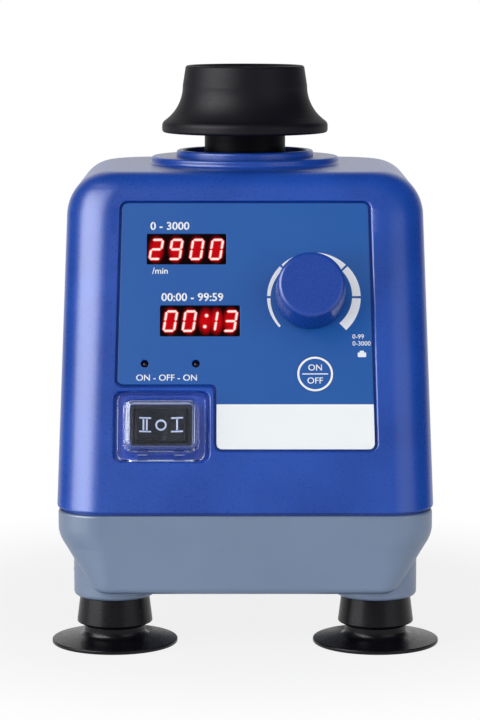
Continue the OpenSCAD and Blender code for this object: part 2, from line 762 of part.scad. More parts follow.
module ballast_screws() {
    color("silver") ballast_screw_places() translate([0, 0, base_z]) pan_screw(screw_d, wall + ballast_t - 1);
}

module guide_posts() {
    color("silver") post_places() difference() {
        union() {
            translate([0, 0, floor_z + 2]) cylinder(d = guide_thread_d, h = ballast_t);
            translate([0, 0, ballast_z]) cylinder(d = guide_flange_d, h = guide_flange_t);
            translate([0, 0, ballast_z]) cylinder(d = guide_d, h = can_z - ballast_z);
        }
        translate([0, 0, can_z - stop_thread_l]) cylinder(d = screw_d + 2 * running, h = stop_thread_l + 1);
    }
}

// Stops above the carriage: a shouldered screw with a wide washer head in each post
module stop_screws() {
    color("silver") post_places() {
        translate([0, 0, can_z]) cylinder(d = washer_d, h = washer_t);
        translate([0, 0, can_z + washer_t - eps]) mirror([0, 0, 1]) pan_screw(screw_d, stop_thread_l);
    }
}

module motor_plate() {
    color("gainsboro") translate([0, axis_y, plate_z]) difference() {
        plate(plate_w, plate_l, plate_t, 6);
        translate([0, -axis_y, 0]) post_places() translate([0, 0, -1])
            cylinder(r = bushing_r + running, h = plate_t + 2);
        motor_screw_places() translate([0, 0, -1]) cylinder(d = screw_d + 2 * running, h = plate_t + 2);
        translate([0, 0, -1]) cylinder(d = motor_bearing_d - 6, h = plate_t + 2);
    }
}
module motor_screw_places() { for (a = [45:90:315]) rotate(a) translate([motor_d / 2 - 6.5, 0, 0])
    children(); }

module plate_bushings() {
    color("goldenrod") post_places() translate([0, 0, plate_z]) difference() {
        cylinder(r = bushing_r, h = plate_t);
        translate([0, 0, -1]) cylinder(r = guide_d / 2 + running, h = plate_t + 2);
    }
}

module motor_screws() {
    color("silver") translate([0, axis_y, plate_z]) motor_screw_places() pan_screw(screw_d, plate_t + 5);
}

// Coil spring with closed end turns, swept along a helix
spring_steps = 15;
spring_sides = 6;
function coil_z(turn) =
    let (close = wire_d * 1.02, free = spring_l - wire_d - 2 * close)
    turn < 1 ? turn * close : turn > coils - 1 ? spring_l - wire_d - (coils - turn) * close
    : close + (turn - 1) * free / (coils - 2);
module coil_spring(sx, sy) {
    n = spring_sides;
    steps = coils * spring_steps;
    color("silver") translate([sx * post_span_x / 2, axis_y + sy * post_span_y / 2, spring_z + wire_d / 2])
        polyhedron(
            points = [for (k = [0:steps], b = [0:n - 1])
                let (r = (spring_d - wire_d) / 2 + wire_d / 2 * cos(360 * b / n), a = 360 * k / spring_steps)
                [r * cos(a), r * sin(a), coil_z(k / spring_steps) + wire_d / 2 * sin(360 * b / n)]],
            faces = concat([[for (b = [n - 1:-1:0]) b]],
                [for (k = [0:steps - 1], b = [0:n - 1])
                    [k * n + b, k * n + (b + 1) % n, (k + 1) * n + (b + 1) % n]],
                [for (k = [0:steps - 1], b = [0:n - 1])
                    [k * n + b, (k + 1) * n + (b + 1) % n, (k + 1) * n + b]],
                [[for (b = [0:n - 1]) steps * n + b]]));
}

// ---- touch microswitch ----

touch_y = axis_y - post_span_y / 2;
touch_w = 27.8;
touch_l = 10.3;
touch_top_z = plate_z - 4.4;
touch_hole_d = 3;
touch_hole_pitch = 22.2;
touch_tab_w = 4.8;
touch_tab_l = 6;
touch_tab_t = 0.8;
touch_tab_pitch = 8;
plunger_d = 3.2;
plunger_in = 3.5;
module touch_switch() {
    color("#333333") translate([0, touch_y, ballast_z]) difference() {
        plate(touch_w, touch_l, touch_top_z - ballast_z, 1);
        translate([0, 0, touch_top_z - ballast_z - plunger_in - 2.5])
            cylinder(r = plunger_d / 2 + running, h = plunger_in + 4);
        for (sx = [-1, 1]) translate([sx * touch_hole_pitch / 2, -touch_l, touch_hole_d + 1])
            rotate([-90, 0, 0])
            cylinder(d = touch_hole_d, h = 2 * touch_l);
    }
    color("goldenrod") for (k = [-1:1])
        translate([k * touch_tab_pitch - touch_tab_w / 2, touch_y + touch_l / 2, ballast_z + 2])
            cube([touch_tab_w, touch_tab_l, touch_tab_t]);
}
module touch_plunger() {
    color("firebrick") translate([0, touch_y, touch_top_z - plunger_in])
        cylinder(d = plunger_d, h = plate_z - touch_top_z + plunger_in - 0.1);
}

// ---- motor ----

function motor_bearing_z() = [can_z + can_t, cap_z - motor_bearing_h];
module motor_can() {
    color("#3a3d42") translate([0, axis_y, can_z]) difference() {
        cylinder(d = motor_d, h = motor_h, $fn = 96);
        translate([0, 0, can_t]) cylinder(d = motor_d - 2 * can_t, h = motor_h, $fn = 96);
        translate([0, 0, -1]) cylinder(d = shaft_d + 3, h = 10);
        motor_screw_places() translate([0, 0, -1]) cylinder(d = screw_d + 2 * running, h = can_t + 4);
    }
    color("#3a3d42") translate([0, axis_y, can_z + can_t]) difference() {
        cylinder(d = motor_bearing_d + 5, h = motor_bearing_h);
        translate([0, 0, -1]) cylinder(d = motor_bearing_d + 2 * running, h = motor_bearing_h + 2);
    }
}
module motor_cap() {
    color("silver") translate([0, axis_y, 0]) difference() {
        union() {
            translate([0, 0, cap_z]) cylinder(d = motor_d, h = cap_t, $fn = 96);
            translate([0, 0, cap_z - 3]) cylinder(d = motor_d - 2 * can_t - 2 * running, h = 4);
            translate([0, 0, cap_z - motor_bearing_h]) cylinder(d = motor_bearing_d + 5, h = motor_bearing_h);
        }
        translate([0, 0, cap_z - motor_bearing_h - 1])
            cylinder(d = motor_bearing_d + 2 * running, h = motor_bearing_h + 1);
        translate([0, 0, cap_z - 1]) cylinder(d = shaft_d + 3, h = cap_t + 2);
        for (a = [0:60:300]) rotate(a + 30) translate([motor_d / 2 - 8, 0, cap_z - 5])
            cylinder(d = 5, h = 10);
    }
}
module motor_bearings() {
    color("lightgray") for (z = motor_bearing_z()) translate([0, axis_y, z]) difference() {
        cylinder(d = motor_bearing_d, h = motor_bearing_h);
        translate([0, 0, -1]) cylinder(r = shaft_d / 2 + running, h = motor_bearing_h + 2);
        translate([0, 0, motor_bearing_h - 0.6]) difference() {
            cylinder(d = motor_bearing_d - 4, h = 1);
            translate([0, 0, -1]) cylinder(d = shaft_d + 4, h = 3);
        }
    }
}

stack_z = can_z + can_t + motor_bearing_h + 6;
stack_h = motor_h - 2 * (motor_bearing_h + 6) - can_t;
slots = 6;
core_r = motor_d / 2 - can_t - running;
tooth_r = rotor_d / 2 + air_gap;
module stator_core() {
    color("slategray") translate([0, axis_y, stack_z]) linear_extrude(stack_h) union() {
        difference() {
            circle(r = core_r, $fn = 96);
            circle(r = core_r - 3.4, $fn = 96);
        }
        for (k = [0:slots - 1]) rotate(360 / slots * k) {
            translate([tooth_r + 1.5, -2.2]) square([core_r - tooth_r - 3, 4.4]);
            intersection() {
                difference() {
                    circle(r = tooth_r + 2.2, $fn = 72);
                    circle(r = tooth_r, $fn = 72);
                }
                polygon([[0, 0], [40, -14], [40, 14]]);
            }
        }
    }
}
coil_in = tooth_r + 2.6;
coil_out = core_r - 4.2;
coil_t = 2.2;
module stator_coils() {
    color("peru") translate([0, axis_y, stack_z]) for (k = [0:slots - 1]) rotate(360 / slots * k)
        translate([(coil_in + coil_out) / 2, 0, stack_h / 2]) rotate([0, 90, 0])
            linear_extrude(coil_out - coil_in, center = true)
            difference() {
                polygon(rounded(box_outline(stack_h + 2 * coil_t + 0.4, 4.8 + 2 * coil_t), coil_t));
                square([stack_h + 0.2, 4.6], center = true);
            }
}
module motor_shaft() {
    color("silver") translate([0, axis_y, can_z + can_t])
        cylinder(d = shaft_d, h = hub_z + hub_grip - 1 - can_z - can_t);
}
module rotor_core() {
    color("darkslategray") translate([0, axis_y, stack_z]) difference() {
        cylinder(d = rotor_d, h = stack_h, $fn = 72);
        translate([0, 0, -1]) cylinder(d = shaft_d + 2 * running, h = stack_h + 2);
    }
}

// Eccentric hub: grips the shaft below and holds the head bearing off-centre above
module eccentric_hub() {
    color("lightslategray") difference() {
        union() {
            translate([0, axis_y, hub_z]) cylinder(d = shaft_d + 12, h = hub_grip);
            translate([0, axis_y, hub_z + hub_grip - 3]) cylinder(d = hub_d, h = bearing_h + 3, $fn = 72);
        }
        translate([0, axis_y, hub_z - 1]) cylinder(d = shaft_d + 2 * running, h = hub_grip);
        translate([0, head_y, bearing_z]) cylinder(d = bearing_d + 2 * running, h = bearing_h + 1, $fn = 72);
        translate([0, head_y, bearing_z - 1]) cylinder(d = bearing_bore_d + 4, h = 2);
        translate([0, axis_y, hub_z + 5]) rotate([90, 0, 0]) cylinder(d = 3.4, h = 30);
    }
}
// Half-round weight opposite the head's offset, on the hub's neck
module counterweight() {
    color("goldenrod") translate([0, axis_y, hub_z]) difference() {
        intersection() {
            cylinder(r = weight_r, h = weight_h, $fn = 72);
            translate([-weight_r, -2, -1]) cube([2 * weight_r, weight_r + 4, weight_h + 2]);
        }
        translate([0, 0, -1]) cylinder(d = shaft_d + 12 + 2 * running, h = weight_h + 2);
    }
}
module head_bearing() {
    color("lightgray") translate([0, head_y, bearing_z]) difference() {
        cylinder(d = bearing_d, h = bearing_h, $fn = 72);
        translate([0, 0, -1]) cylinder(d = bearing_bore_d + 2 * running, h = bearing_h + 2);
        translate([0, 0, bearing_h - 0.5]) difference() {
            cylinder(d = bearing_d - 5, h = 1);
            translate([0, 0, -1]) cylinder(d = bearing_bore_d + 5, h = 3);
        }
    }
}

// ---- head ----

module cup_carrier() {
    top = cup_z + 0.8 - running;
    cone_z = carrier_foot_z + 1;
    color("#2b2b2f") translate([0, head_y, 0]) rotate_extrude($fn = 72) polygon([
        [0, bearing_z + 0.5], [bearing_bore_d / 2, bearing_z + 0.5],
            [bearing_bore_d / 2, bearing_z + bearing_h + 0.2],
        [bearing_bore_d / 2 + 1.5, bearing_z + bearing_h + 0.2], [bearing_bore_d / 2 + 1.5, cone_z],
        [post_d / 2, cone_z + post_d / 2 - bearing_bore_d / 2 - 1.5], [post_d / 2, top],
        [spigot_d / 2, top], [spigot_d / 2, top + spigot_h - 1], [spigot_d / 2 - 1, top + spigot_h],
            [0, top + spigot_h]]);
}
module splash_shield() {
    color("#2b2b2f") translate([0, head_y, shield_z]) rotate_extrude($fn = 72) polygon([
        [post_d / 2 + running, 0], [shield_d / 2 - 0.6, 0], [shield_d / 2, 0.6],
            [shield_d / 2 - 0.4, shield_t], [post_d / 2 + running, shield_t + 0.8]]);
}

// Rubber touch cup: dished seat, rounded lip, tapered wall flaring into a wide flange
module touch_cup() {
    lip = cup_d / 2;
    flare_x = flange_d / 2 - flange_edge_r;
    // lean of the line through the centres of the edge and the flare
    tilt = acos((lip + cup_taper / 2 + flare_r - flare_x) / (flare_r + flange_edge_r));
    edge_start = [flare_x + flange_edge_r * cos(tilt), flange_edge_r * (1 + sin(tilt))];
    flare_c = edge_start + flare_r * [cos(tilt), sin(tilt)];
    dish_w = lip - lip_w;
    dish_r = (dish_w * dish_w + dish_depth * dish_depth) / (2 * dish_depth);
    dish_a = asin(dish_w / dish_r);
    color("#202024") translate([0, head_y, cup_z]) difference() {
        rotate_extrude($fn = 96) polygon(concat(
            [[0, 0.8], [post_d / 2 + 1, 0.8], [post_d / 2 + 3, 0]],
            arc(flange_d / 2 - flange_low_r, flange_low_r, flange_low_r, 270, 360, 4),
            arc(flare_x, flange_edge_r, flange_edge_r, 0, tilt, 6),
            arc(flare_c.x, flare_c.y, flare_r, 180 + tilt, 180, 8),
            arc(lip - lip_w / 2, cup_h - lip_w / 2, lip_w / 2, 5, 150, 6),
            [for (k = [10:-1:0]) [dish_r * sin(dish_a * k / 10) * 0.985,
                cup_h - 0.5 - dish_depth + dish_r * (1 - cos(dish_a * k / 10))]]));
        translate([0, 0, -1]) cylinder(d = spigot_d + 2 * running, h = spigot_h + 1.8 + running);
        translate([0, 0, -1]) cylinder(d = post_d + 2, h = 1.8);
    }
}

// ---- control panel ----

module control_overlay() {
    color("steelblue") difference() {
        on_face(0, 0, -recess_t) linear_extrude(overlay_t)
            polygon(rounded(panel_outline(panel_gap), panel_r - panel_gap));
        for (at = [[speed_x, speed_u], [timer_x, timer_u]]) on_face(at.x, at.y, -recess_t - 1)
            plate(window_w, window_h, 4, 0.5);
        on_face(knob_x, knob_u, -recess_t - 1) cylinder(d = bushing_d + 0.2, h = 4);
        on_face(key_x, key_u, -recess_t - 1) cylinder(d = key_d + 2 * window_gap, h = 4);
        for (x = [led_x, led_x + led_pitch]) on_face(x, led_u, -recess_t - 1) cylinder(d = led_hole_d, h = 4);
    }
}

// Display module: a box behind the overlay with a raised face that fills the window
module display(x, u) {
    on_face(x, u, board_out) plate(module_w, module_h, module_t - 0.05, 0.4);
    on_face(x, u, board_out + 1)
        plate(window_w - 2 * window_gap, window_h - 2 * window_gap, module_t - 1 + 0.3, 0.4);
}
module speed_display() { color("maroon") display(speed_x, speed_u); }
module timer_display() { color("maroon") display(timer_x, timer_u); }

module display_board() {
    color("darkgreen") on_face(0, 0, board_out - board_t) difference() {
        translate([0, (display_top + display_low) / 2, 0])
            plate(display_w, display_top - display_low, board_t, 1);
        for (x = [-display_screw_x, display_screw_x],
            u = [display_low + display_screw_in, display_top - display_screw_in])
            translate([x, u, -1]) cylinder(d = board_screw_d + 2 * running, h = 4);
    }
}
module display_screws() {
    color("silver") standoff_places() translate([0, 0, -board_t]) pan_screw(board_screw_d, board_t + 4.4);
}
module indicator_leds() {
    color("darkred") for (x = [led_x, led_x + led_pitch]) on_face(x, led_u, board_out) {
        cylinder(d = led_d, h = module_t - 1.2);
        translate([0, 0, module_t - 1.2]) sphere(d = led_d, $fn = 24);
        cylinder(d = led_d + 1, h = 1.5);
    }
}
module tact_switch() {
    color("#444444") on_face(key_x, key_u, board_out) {
        plate(6, 6, tact_h - 0.5 - key_travel, 0.4);
        cylinder(d = 3.4, h = tact_h - key_travel - 0.1);
    }
}
module run_stop_key() {
    color("steelblue") on_face(key_x, key_u, -recess_t) {
        translate([0, 0, key_travel]) cylinder(d = key_d, h = overlay_t - key_travel);
        translate([0, 0, -stem_l]) cylinder(d = stem_d, h = stem_l + key_travel + eps);
    }
}

module encoder_body() {
    color("#3c4a3c") on_face(knob_x, knob_u, board_out) difference() {
        union() {
            plate(13.4, 12.4, encoder_l, 0.6);
            translate([0, 0, encoder_l - 0.5])
                cylinder(d = bushing_d, h = overlay_out + nut_t + 0.6 - board_out - encoder_l + 0.5);
        }
        translate([0, 0, encoder_l - 1.2]) cylinder(d = knob_shaft_d + 2 * running, h = 20);
        translate([0, 0, encoder_floor]) cylinder(d = 10.4, h = encoder_l - encoder_floor - 1);
    }
}
module encoder_rotor() {
    color("white") on_face(knob_x, knob_u, board_out + encoder_floor + rotor_lift) difference() {
        cylinder(d = 10, h = rotor_t);
        translate([0, 0, -1]) cylinder(d = shaft_foot_d + 2 * running, h = rotor_t + 2);
    }
}
// Shaft with a thin foot in the rotor and a flat for the knob
module encoder_shaft() {
    foot = board_out + encoder_floor + push_travel + 0.1;
    shoulder = board_out + encoder_floor + rotor_lift + rotor_t + push_travel + 0.1;
    color("silver") on_face(knob_x, knob_u) difference() {
        union() {
            translate([0, 0, foot]) cylinder(d = shaft_foot_d, h = shoulder - foot + 1);
            translate([0, 0, shoulder]) cylinder(d = knob_shaft_d, h = shaft_top - shoulder);
        }
        translate([knob_shaft_d / 2 - 1.5, -5, shaft_top - shaft_flat_l]) cube([5, 10, 20]);
    }
}
module encoder_nut() {
    color("silver") on_face(knob_x, knob_u, overlay_out) difference() {
        cylinder(d = 10 / cos(30), h = nut_t, $fn = 6);
        translate([0, 0, -1]) cylinder(d = bushing_d + 2 * running, h = nut_t + 2);
    }
}
module knob() {
    base = knob_d / 2;
    face = knob_face_d / 2;
    color("royalblue") on_face(knob_x, knob_u, knob_out) difference() {
        rotate_extrude($fn = 96) polygon(concat([[0, 0], [base - 0.4, 0], [base, 0.4]],
            arc(face - 1.6, knob_l - 1.6, 1.6, 5, 90, 6), [[0, knob_l]]));
        translate([0, 0, -1]) cylinder(d = 15, h = 5.5);
        translate([0, 0, -1]) difference() {
            cylinder(d = knob_shaft_d + 2 * running, h = shaft_top - knob_out + 1 + running);
            translate([knob_shaft_d / 2 - 1.5 + running, -5, shaft_top - knob_out + 1 - shaft_flat_l])
                cube([5, 10, 20]);
        }
    }
}

// ---- rocker switch ----

module switch_body() {
    color("#18181b") on_face(switch_x, switch_u, -pocket_t) difference() {
        union() {
            plate(frame_w, frame_h, frame_t, 1.2);
            translate([0, 0, -switch_l]) plate(cutout_w, cutout_h, switch_l + 1, 0.5);
        }
        translate([0, 0, -7]) plate(rocker_w + 2 * rocker_gap, rocker_h + 2 * clear, 20, 0.4);
    }
    color("silver") for (x = [-7, 0, 7])
        on_face(switch_x + x, switch_u, -pocket_t - switch_l - 7) translate([-0.4, -2.4, 0])
            cube([0.8, 4.8, 8]);
    // pivot pin across the body
    color("#18181b") on_face(switch_x, switch_u, pivot_out) rotate([90, 0, 0])
        cylinder(d = pivot_d, h = cutout_h - 0.4, center = true);
}
// Rocker with a shallow V-shaped face, seen along its pivot
module rocker() {
    w = rocker_w / 2;
    tip = frame_t - pocket_t + tip_out - pivot_out;
    color("#1c1c20") on_face(switch_x, switch_u, pivot_out) rotate([90, 0, 0]) difference() {
        linear_extrude(rocker_h, center = true) polygon(concat(
            [[-w + 1.6, -4], [w - 1.6, -4], [w, -0.6]], arc(w - 0.7, tip - 0.7, 0.7, 0, 80, 3),
            [[0, tip - 1.1]], arc(0.7 - w, tip - 0.7, 0.7, 100, 180, 3), [[-w, -0.6]]));
        cylinder(d = pivot_d + 2 * running, h = frame_h, center = true);
    }
}
// Level of a rounded rectangle, for the boot's lofts
function box_level(w, h, r, z) = level(w / 2, -h / 2, h / 2, [r, r], [r, r], z, 4);
// Clear boot over the switch: a skirt with two clip windows and a thin-walled dome with soft shoulders
module switch_boot() {
    hollow_w = dome_w - 2 * boot_wall;
    hollow_h = dome_h - 2 * boot_wall;
    hollow_t = boot_t - boot_wall;
    color("lightblue", 0.4) on_face(switch_x, switch_u, -pocket_t) difference() {
        loft([box_level(boot_w, boot_h, boot_r, 0), box_level(boot_w, boot_h, boot_r, skirt_t - boot_edge),
              box_level(boot_w - 2 * boot_edge, boot_h - 2 * boot_edge, boot_r - boot_edge, skirt_t),
              box_level(dome_w + dome_draft, dome_h + dome_draft, boot_r, skirt_t),
              box_level(dome_w, dome_h, boot_r, boot_t - shoulder),
              box_level(dome_w - 0.6 * shoulder, dome_h - 0.6 * shoulder, boot_r - 0.3 * shoulder,
                  boot_t - 0.3 * shoulder),
              box_level(dome_w - 2 * shoulder, dome_h - 2 * shoulder, boot_r - 0.7 * shoulder, boot_t)]);
        loft([box_level(hollow_w, hollow_h, boot_r - boot_wall, -1),
              box_level(hollow_w, hollow_h, boot_r - boot_wall, hollow_t - shoulder),
              box_level(hollow_w - 1.4 * shoulder, hollow_h - 1.4 * shoulder,
                  boot_r - boot_wall - 0.5 * shoulder, hollow_t)]);
        for (sx = [-1, 1]) translate([sx * clip_pitch / 2 - clip_w / 2, -boot_h / 2 - 1, skirt_t - clip_t])
            cube([clip_w, clip_h + 1, clip_t + 1]);
    }
}

// ---- electronics ----

module power_screw_places() {
    for (sx = [-1, 1], sy = [-1, 1])
        translate([sx * (power_w / 2 - power_screw_in), power_y + sy * (power_l / 2 - 4), 0]) children();
}
module power_board() {
    color("darkgreen") translate([0, 0, power_z]) difference() {
        translate([0, power_y, 0]) plate(power_w, power_l, board_t, 1.5);
        power_screw_places() translate([0, 0, -1]) cylinder(d = board_screw_d + 2 * running, h = 5);
    }
}
module board_screws() {
    color("silver") power_screw_places() translate([0, 0, power_z + board_t]) mirror([0, 0, 1])
        pan_screw(board_screw_d, board_t + 5);
}
// Parts of the power board: width, depth and height, or diameter and height
capacitor = [10, 16];
capacitor_pitch = 11;
transformer = [20, 15, 12];
sink = [21.2, 6, 12];
sink_fin_t = 1.2;
sink_fins = 6;
choke = [13, 6];
relay = [8, 8, 7];
relay_pitch = 11;
module board_parts() {
    translate([0, power_y, power_z + board_t]) {
        color("#20304a") for (k = [0:1]) translate([k * capacitor_pitch - 2, power_l * 0.15, 0])
            cylinder(d = capacitor[0], h = capacitor[1]);
        color("#2a2a2a") translate([-transformer.x, power_l / 8, 0])
            plate(transformer.x, transformer.y, transformer.z, 1);
        color("silver") translate([-power_w / 5, -power_l / 2 + 7.5, 0]) {
            for (k = [0:sink_fins - 1]) translate([k * (sink.x - sink_fin_t) / (sink_fins - 1), 0, 0])
                cube([sink_fin_t, sink.y, sink.z]);
            cube([sink.x, sink.y, 1.6]);
        }
        color("goldenrod") translate([power_w * 0.22, -power_l / 5, 0]) difference() {
            cylinder(d = choke[0], h = choke[1]);
            translate([0, 0, -1]) cylinder(d = choke[0] / 2, h = choke[1] + 2);
        }
        color("white") for (k = [0:1]) translate([power_w * 0.23 + k * relay_pitch, power_l / 5, 0])
            plate(relay.x, relay.y, relay.z, 0.5);
    }
}

// ---- mains inlet ----

function socket_outline() =
    let (w = socket_w / 2, h = socket_h / 2)
    [[-w, -h], [w, -h], [w, h - socket_cut], [w - socket_cut, h], [socket_cut - w, h], [-w, h - socket_cut]];
module mains_inlet() {
    color("#202020") on_rear() difference() {
        union() {
            plate(inlet_w, inlet_h, inlet_t, 3);
            translate([0, 0, -inlet_l]) plate(inlet_body_w, inlet_body_h, inlet_l + 1, 1.5);
        }
        translate([0, socket_up, inlet_t - socket_l]) linear_extrude(socket_l + 1)
            polygon(rounded(socket_outline(), 1.5, 3));
        translate([0, drawer_up, -drawer_l])
            plate(drawer_w + 2 * clear, drawer_h + 2 * clear, drawer_l + 5, 0.6);
        for (p = blade_places) translate([p.x, p.y, -inlet_l - 1])
            plate(blade_w + 2 * running, blade_h + 2 * running, inlet_l - 2, 0.2);
        for (sx = [-1, 1]) translate([sx * inlet_pitch / 2, 0, -1])
            cylinder(d = inlet_screw_d + 2 * running, h = inlet_t + 2);
    }
}
// Blades of the inlet, with solder ends behind it
module inlet_pins() {
    color("silver") on_rear() for (p = blade_places)
        translate([p.x, p.y, -inlet_l - blade_l]) plate(blade_w, blade_h, inlet_l + blade_l - 0.5, 0.2);
}
module inlet_screws() {
    color("silver") on_rear() for (sx = [-1, 1])
        translate([sx * inlet_pitch / 2, 0, inlet_t]) mirror([0, 0, 1]) pan_screw(inlet_screw_d, inlet_t + 7);
}
module fuse_drawer() {
    color("#2a2a2a") on_rear(0, drawer_up, 1 - drawer_l) difference() {
        union() {
            plate(drawer_w, drawer_h, drawer_l - 1 + inlet_t, 0.5);
            translate([0, 0, drawer_l - 2 + inlet_t]) plate(drawer_w - 4, drawer_h - 3, 2.2, 0.5);
        }
        translate([0, fuse_up, fuse_in]) rotate([0, 90, 0])
            cylinder(d = fuse_d + 2 * running, h = fuse_l + 2 * running, center = true);
        translate([-fuse_l / 2 - running, fuse_up, fuse_in - fuse_d / 2 - running])
            cube([fuse_l + 2 * running, 10, fuse_d + 2 * running]);
    }
}
module fuse() {
    color("silver") on_rear(0, drawer_up + fuse_up, 1 - drawer_l + fuse_in) rotate([0, 90, 0]) {
        cylinder(d = fuse_d - 0.4, h = fuse_l, center = true);
        for (s = [-1, 1]) translate([0, 0, s * (fuse_l / 2 - 2.5)])
            cylinder(d = fuse_d, h = 5, center = true);
    }
}

housing_shell();
collar_ring();
base_tray();
suction_foot(-1, -1);  // foot_front_left
suction_foot(1, -1);  // foot_front_right
suction_foot(-1, 1);  // foot_rear_left
suction_foot(1, 1);  // foot_rear_right
foot_studs();
foot_nuts();
housing_screws();
ballast_plate();
ballast_screws();
guide_posts();
stop_screws();
touch_switch();
touch_plunger();
motor_plate();
plate_bushings();
coil_spring(-1, -1);  // spring_front_left
coil_spring(1, -1);  // spring_front_right
coil_spring(-1, 1);  // spring_rear_left
coil_spring(1, 1);  // spring_rear_right
motor_can();
motor_cap();
motor_screws();
motor_bearings();
stator_core();
stator_coils();
motor_shaft();
rotor_core();
eccentric_hub();
counterweight();
head_bearing();
cup_carrier();
splash_shield();
touch_cup();
control_overlay();
speed_display();
timer_display();
display_board();
display_screws();
indicator_leds();
tact_switch();
run_stop_key();
encoder_body();
encoder_nut();
encoder_rotor();
encoder_shaft();
knob();
switch_body();
rocker();
switch_boot();
power_board();
board_parts();
board_screws();
mains_inlet();
inlet_pins();
inlet_screws();
fuse_drawer();
fuse();
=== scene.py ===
import json
import math
import bmesh
import bpy
from mathutils import Matrix, Vector


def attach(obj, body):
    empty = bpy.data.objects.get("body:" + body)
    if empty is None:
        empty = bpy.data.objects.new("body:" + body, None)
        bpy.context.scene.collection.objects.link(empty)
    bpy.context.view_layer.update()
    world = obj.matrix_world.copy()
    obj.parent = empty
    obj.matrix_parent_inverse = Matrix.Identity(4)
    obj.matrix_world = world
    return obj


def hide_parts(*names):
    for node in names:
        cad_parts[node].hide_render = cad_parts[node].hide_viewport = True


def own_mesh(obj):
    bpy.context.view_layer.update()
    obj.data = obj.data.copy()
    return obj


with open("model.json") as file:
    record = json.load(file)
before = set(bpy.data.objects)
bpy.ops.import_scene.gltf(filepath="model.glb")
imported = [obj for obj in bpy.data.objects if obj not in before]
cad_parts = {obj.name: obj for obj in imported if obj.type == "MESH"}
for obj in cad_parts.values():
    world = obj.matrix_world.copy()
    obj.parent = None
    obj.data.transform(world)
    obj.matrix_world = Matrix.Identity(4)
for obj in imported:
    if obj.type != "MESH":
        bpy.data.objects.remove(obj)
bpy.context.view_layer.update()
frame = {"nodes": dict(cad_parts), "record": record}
scene = bpy.context.scene
scene.view_settings.view_transform = "Standard"
print("frame loaded:", len(frame["nodes"]), "nodes")


# small helpers; sizes are in millimetres until a piece is made

def linearColour(code):
    # sRGB hex to linear RGBA
    parts = [int(code[i:i + 2], 16) / 255 for i in (1, 3, 5)]
    return [p / 12.92 if p <= 0.04045 else ((p + 0.055) / 1.055) ** 2.4 for p in parts] + [1.0]


def pick(sockets, key):
    if isinstance(key, int):
        return sockets[key]
    return next(s for s in sockets if s.enabled and s.name == key)


def addNode(tree, kind, inputs=None, links=None, **settings):
    node = tree.nodes.new(kind)
    for key, value in settings.items():
        setattr(node, key, value)
    for key, value in (inputs or {}).items():
        pick(node.inputs, key).default_value = value
    for key, source in (links or {}).items():
        tree.links.new(source, pick(node.inputs, key))
    return node


def startMaterial(name, inputs):
    material = bpy.data.materials.new(name)
    material.use_nodes = True
    tree = material.node_tree
    shader = tree.nodes["Principled BSDF"]
    for key, value in inputs.items():
        shader.inputs[key].default_value = value
    return material, tree, shader


def arcPoints(cx, cy, r, start, end, steps):
    turns = [math.radians(start + (end - start) * k / steps) for k in range(steps + 1)]
    return [(cx + r * math.cos(t), cy + r * math.sin(t)) for t in turns]


def roundedPath(corners, perRadian=8):
    # corners are (x, y, radius); each one becomes an arc tangent to both of its sides
    path, count = [], len(corners)
    for i, (x, y, r) in enumerate(corners):
        here = Vector((x, y))
        before = (Vector(corners[i - 1][:2]) - here).normalized()
        after = (Vector(corners[(i + 1) % count][:2]) - here).normalized()
        half = before.angle(after) / 2
        centre = here + (before + after).normalized() * r / math.sin(half)
        first = here + before * r / math.tan(half) - centre
        last = here + after * r / math.tan(half) - centre
        start = math.atan2(first.y, first.x)
        sweep = (math.atan2(last.y, last.x) - start + math.pi) % math.tau - math.pi
        steps = max(2, round(math.pi / 2 * perRadian))
        for k in range(steps + 1):
            turn = start + sweep * k / steps
            path.append((centre.x + r * math.cos(turn), centre.y + r * math.sin(turn)))
    return path


def boxPath(w, h, r, perRadian=8):
    corners = [(-w / 2, -h / 2, r), (w / 2, -h / 2, r), (w / 2, h / 2, r), (-w / 2, h / 2, r)]
    return roundedPath(corners, perRadian)


def loftInto(bm, rings, capStart=True, capEnd=True):
    made = [[bm.verts.new(p) for p in ring] for ring in rings]
    count = len(made[0])
    for low, high in zip(made, made[1:]):
        for i in range(count):
            j = (i + 1) % count
            bm.faces.new((low[i], low[j], high[j], high[i]))
    if capStart:
        bm.faces.new(list(reversed(made[0])))
    if capEnd:
        bm.faces.new(made[-1])
    return made


def latheInto(bm, profile, place=Matrix.Identity(4), steps=128):
    # profile is (radius, height) from the axis and back to it
    rings = []
    for r, z in profile:
        if r < 1e-6:
            rings.append([bm.verts.new(place @ Vector((0, 0, z)))])
        else:
            turns = [math.tau * k / steps for k in range(steps)]
            rings.append([bm.verts.new(place @ Vector((r * math.cos(t), r * math.sin(t), z)))
                          for t in turns])
    for low, high in zip(rings, rings[1:]):
        for i in range(steps):
            j = (i + 1) % steps
            corners = [low[i % len(low)], low[j % len(low)], high[j % len(high)], high[i % len(high)]]
            distinct = list(dict.fromkeys(corners))
            if len(distinct) > 2:
                bm.faces.new(distinct)


def cylinderInto(bm, place, r, low, high, steps=32):
    latheInto(bm, [(0, low), (r, low), (r, high), (0, high)], place, steps)


def latheRing(bm, profile, place=Matrix.Identity(4), steps=128):
    # profile is a closed outline that never meets the axis
    turns = [math.tau * k / steps for k in range(steps)]
    rings = [[place @ Vector((r * math.cos(t), r * math.sin(t), z)) for t in turns] for r, z in profile]
    made = loftInto(bm, rings, False, False)
    first, last = made[0], made[-1]
    for i in range(steps):
        j = (i + 1) % steps
        bm.faces.new((last[i], last[j], first[j], first[i]))


def flatRing(bm, place, outer, inner, low, high, steps=64):
    latheRing(bm, [(outer, low), (outer, high), (inner, high), (inner, low)], place, steps)


def prismInto(bm, place, path, low, high):
    loftInto(bm, [[place @ Vector((x, y, out)) for x, y in path] for out in (low, high)])


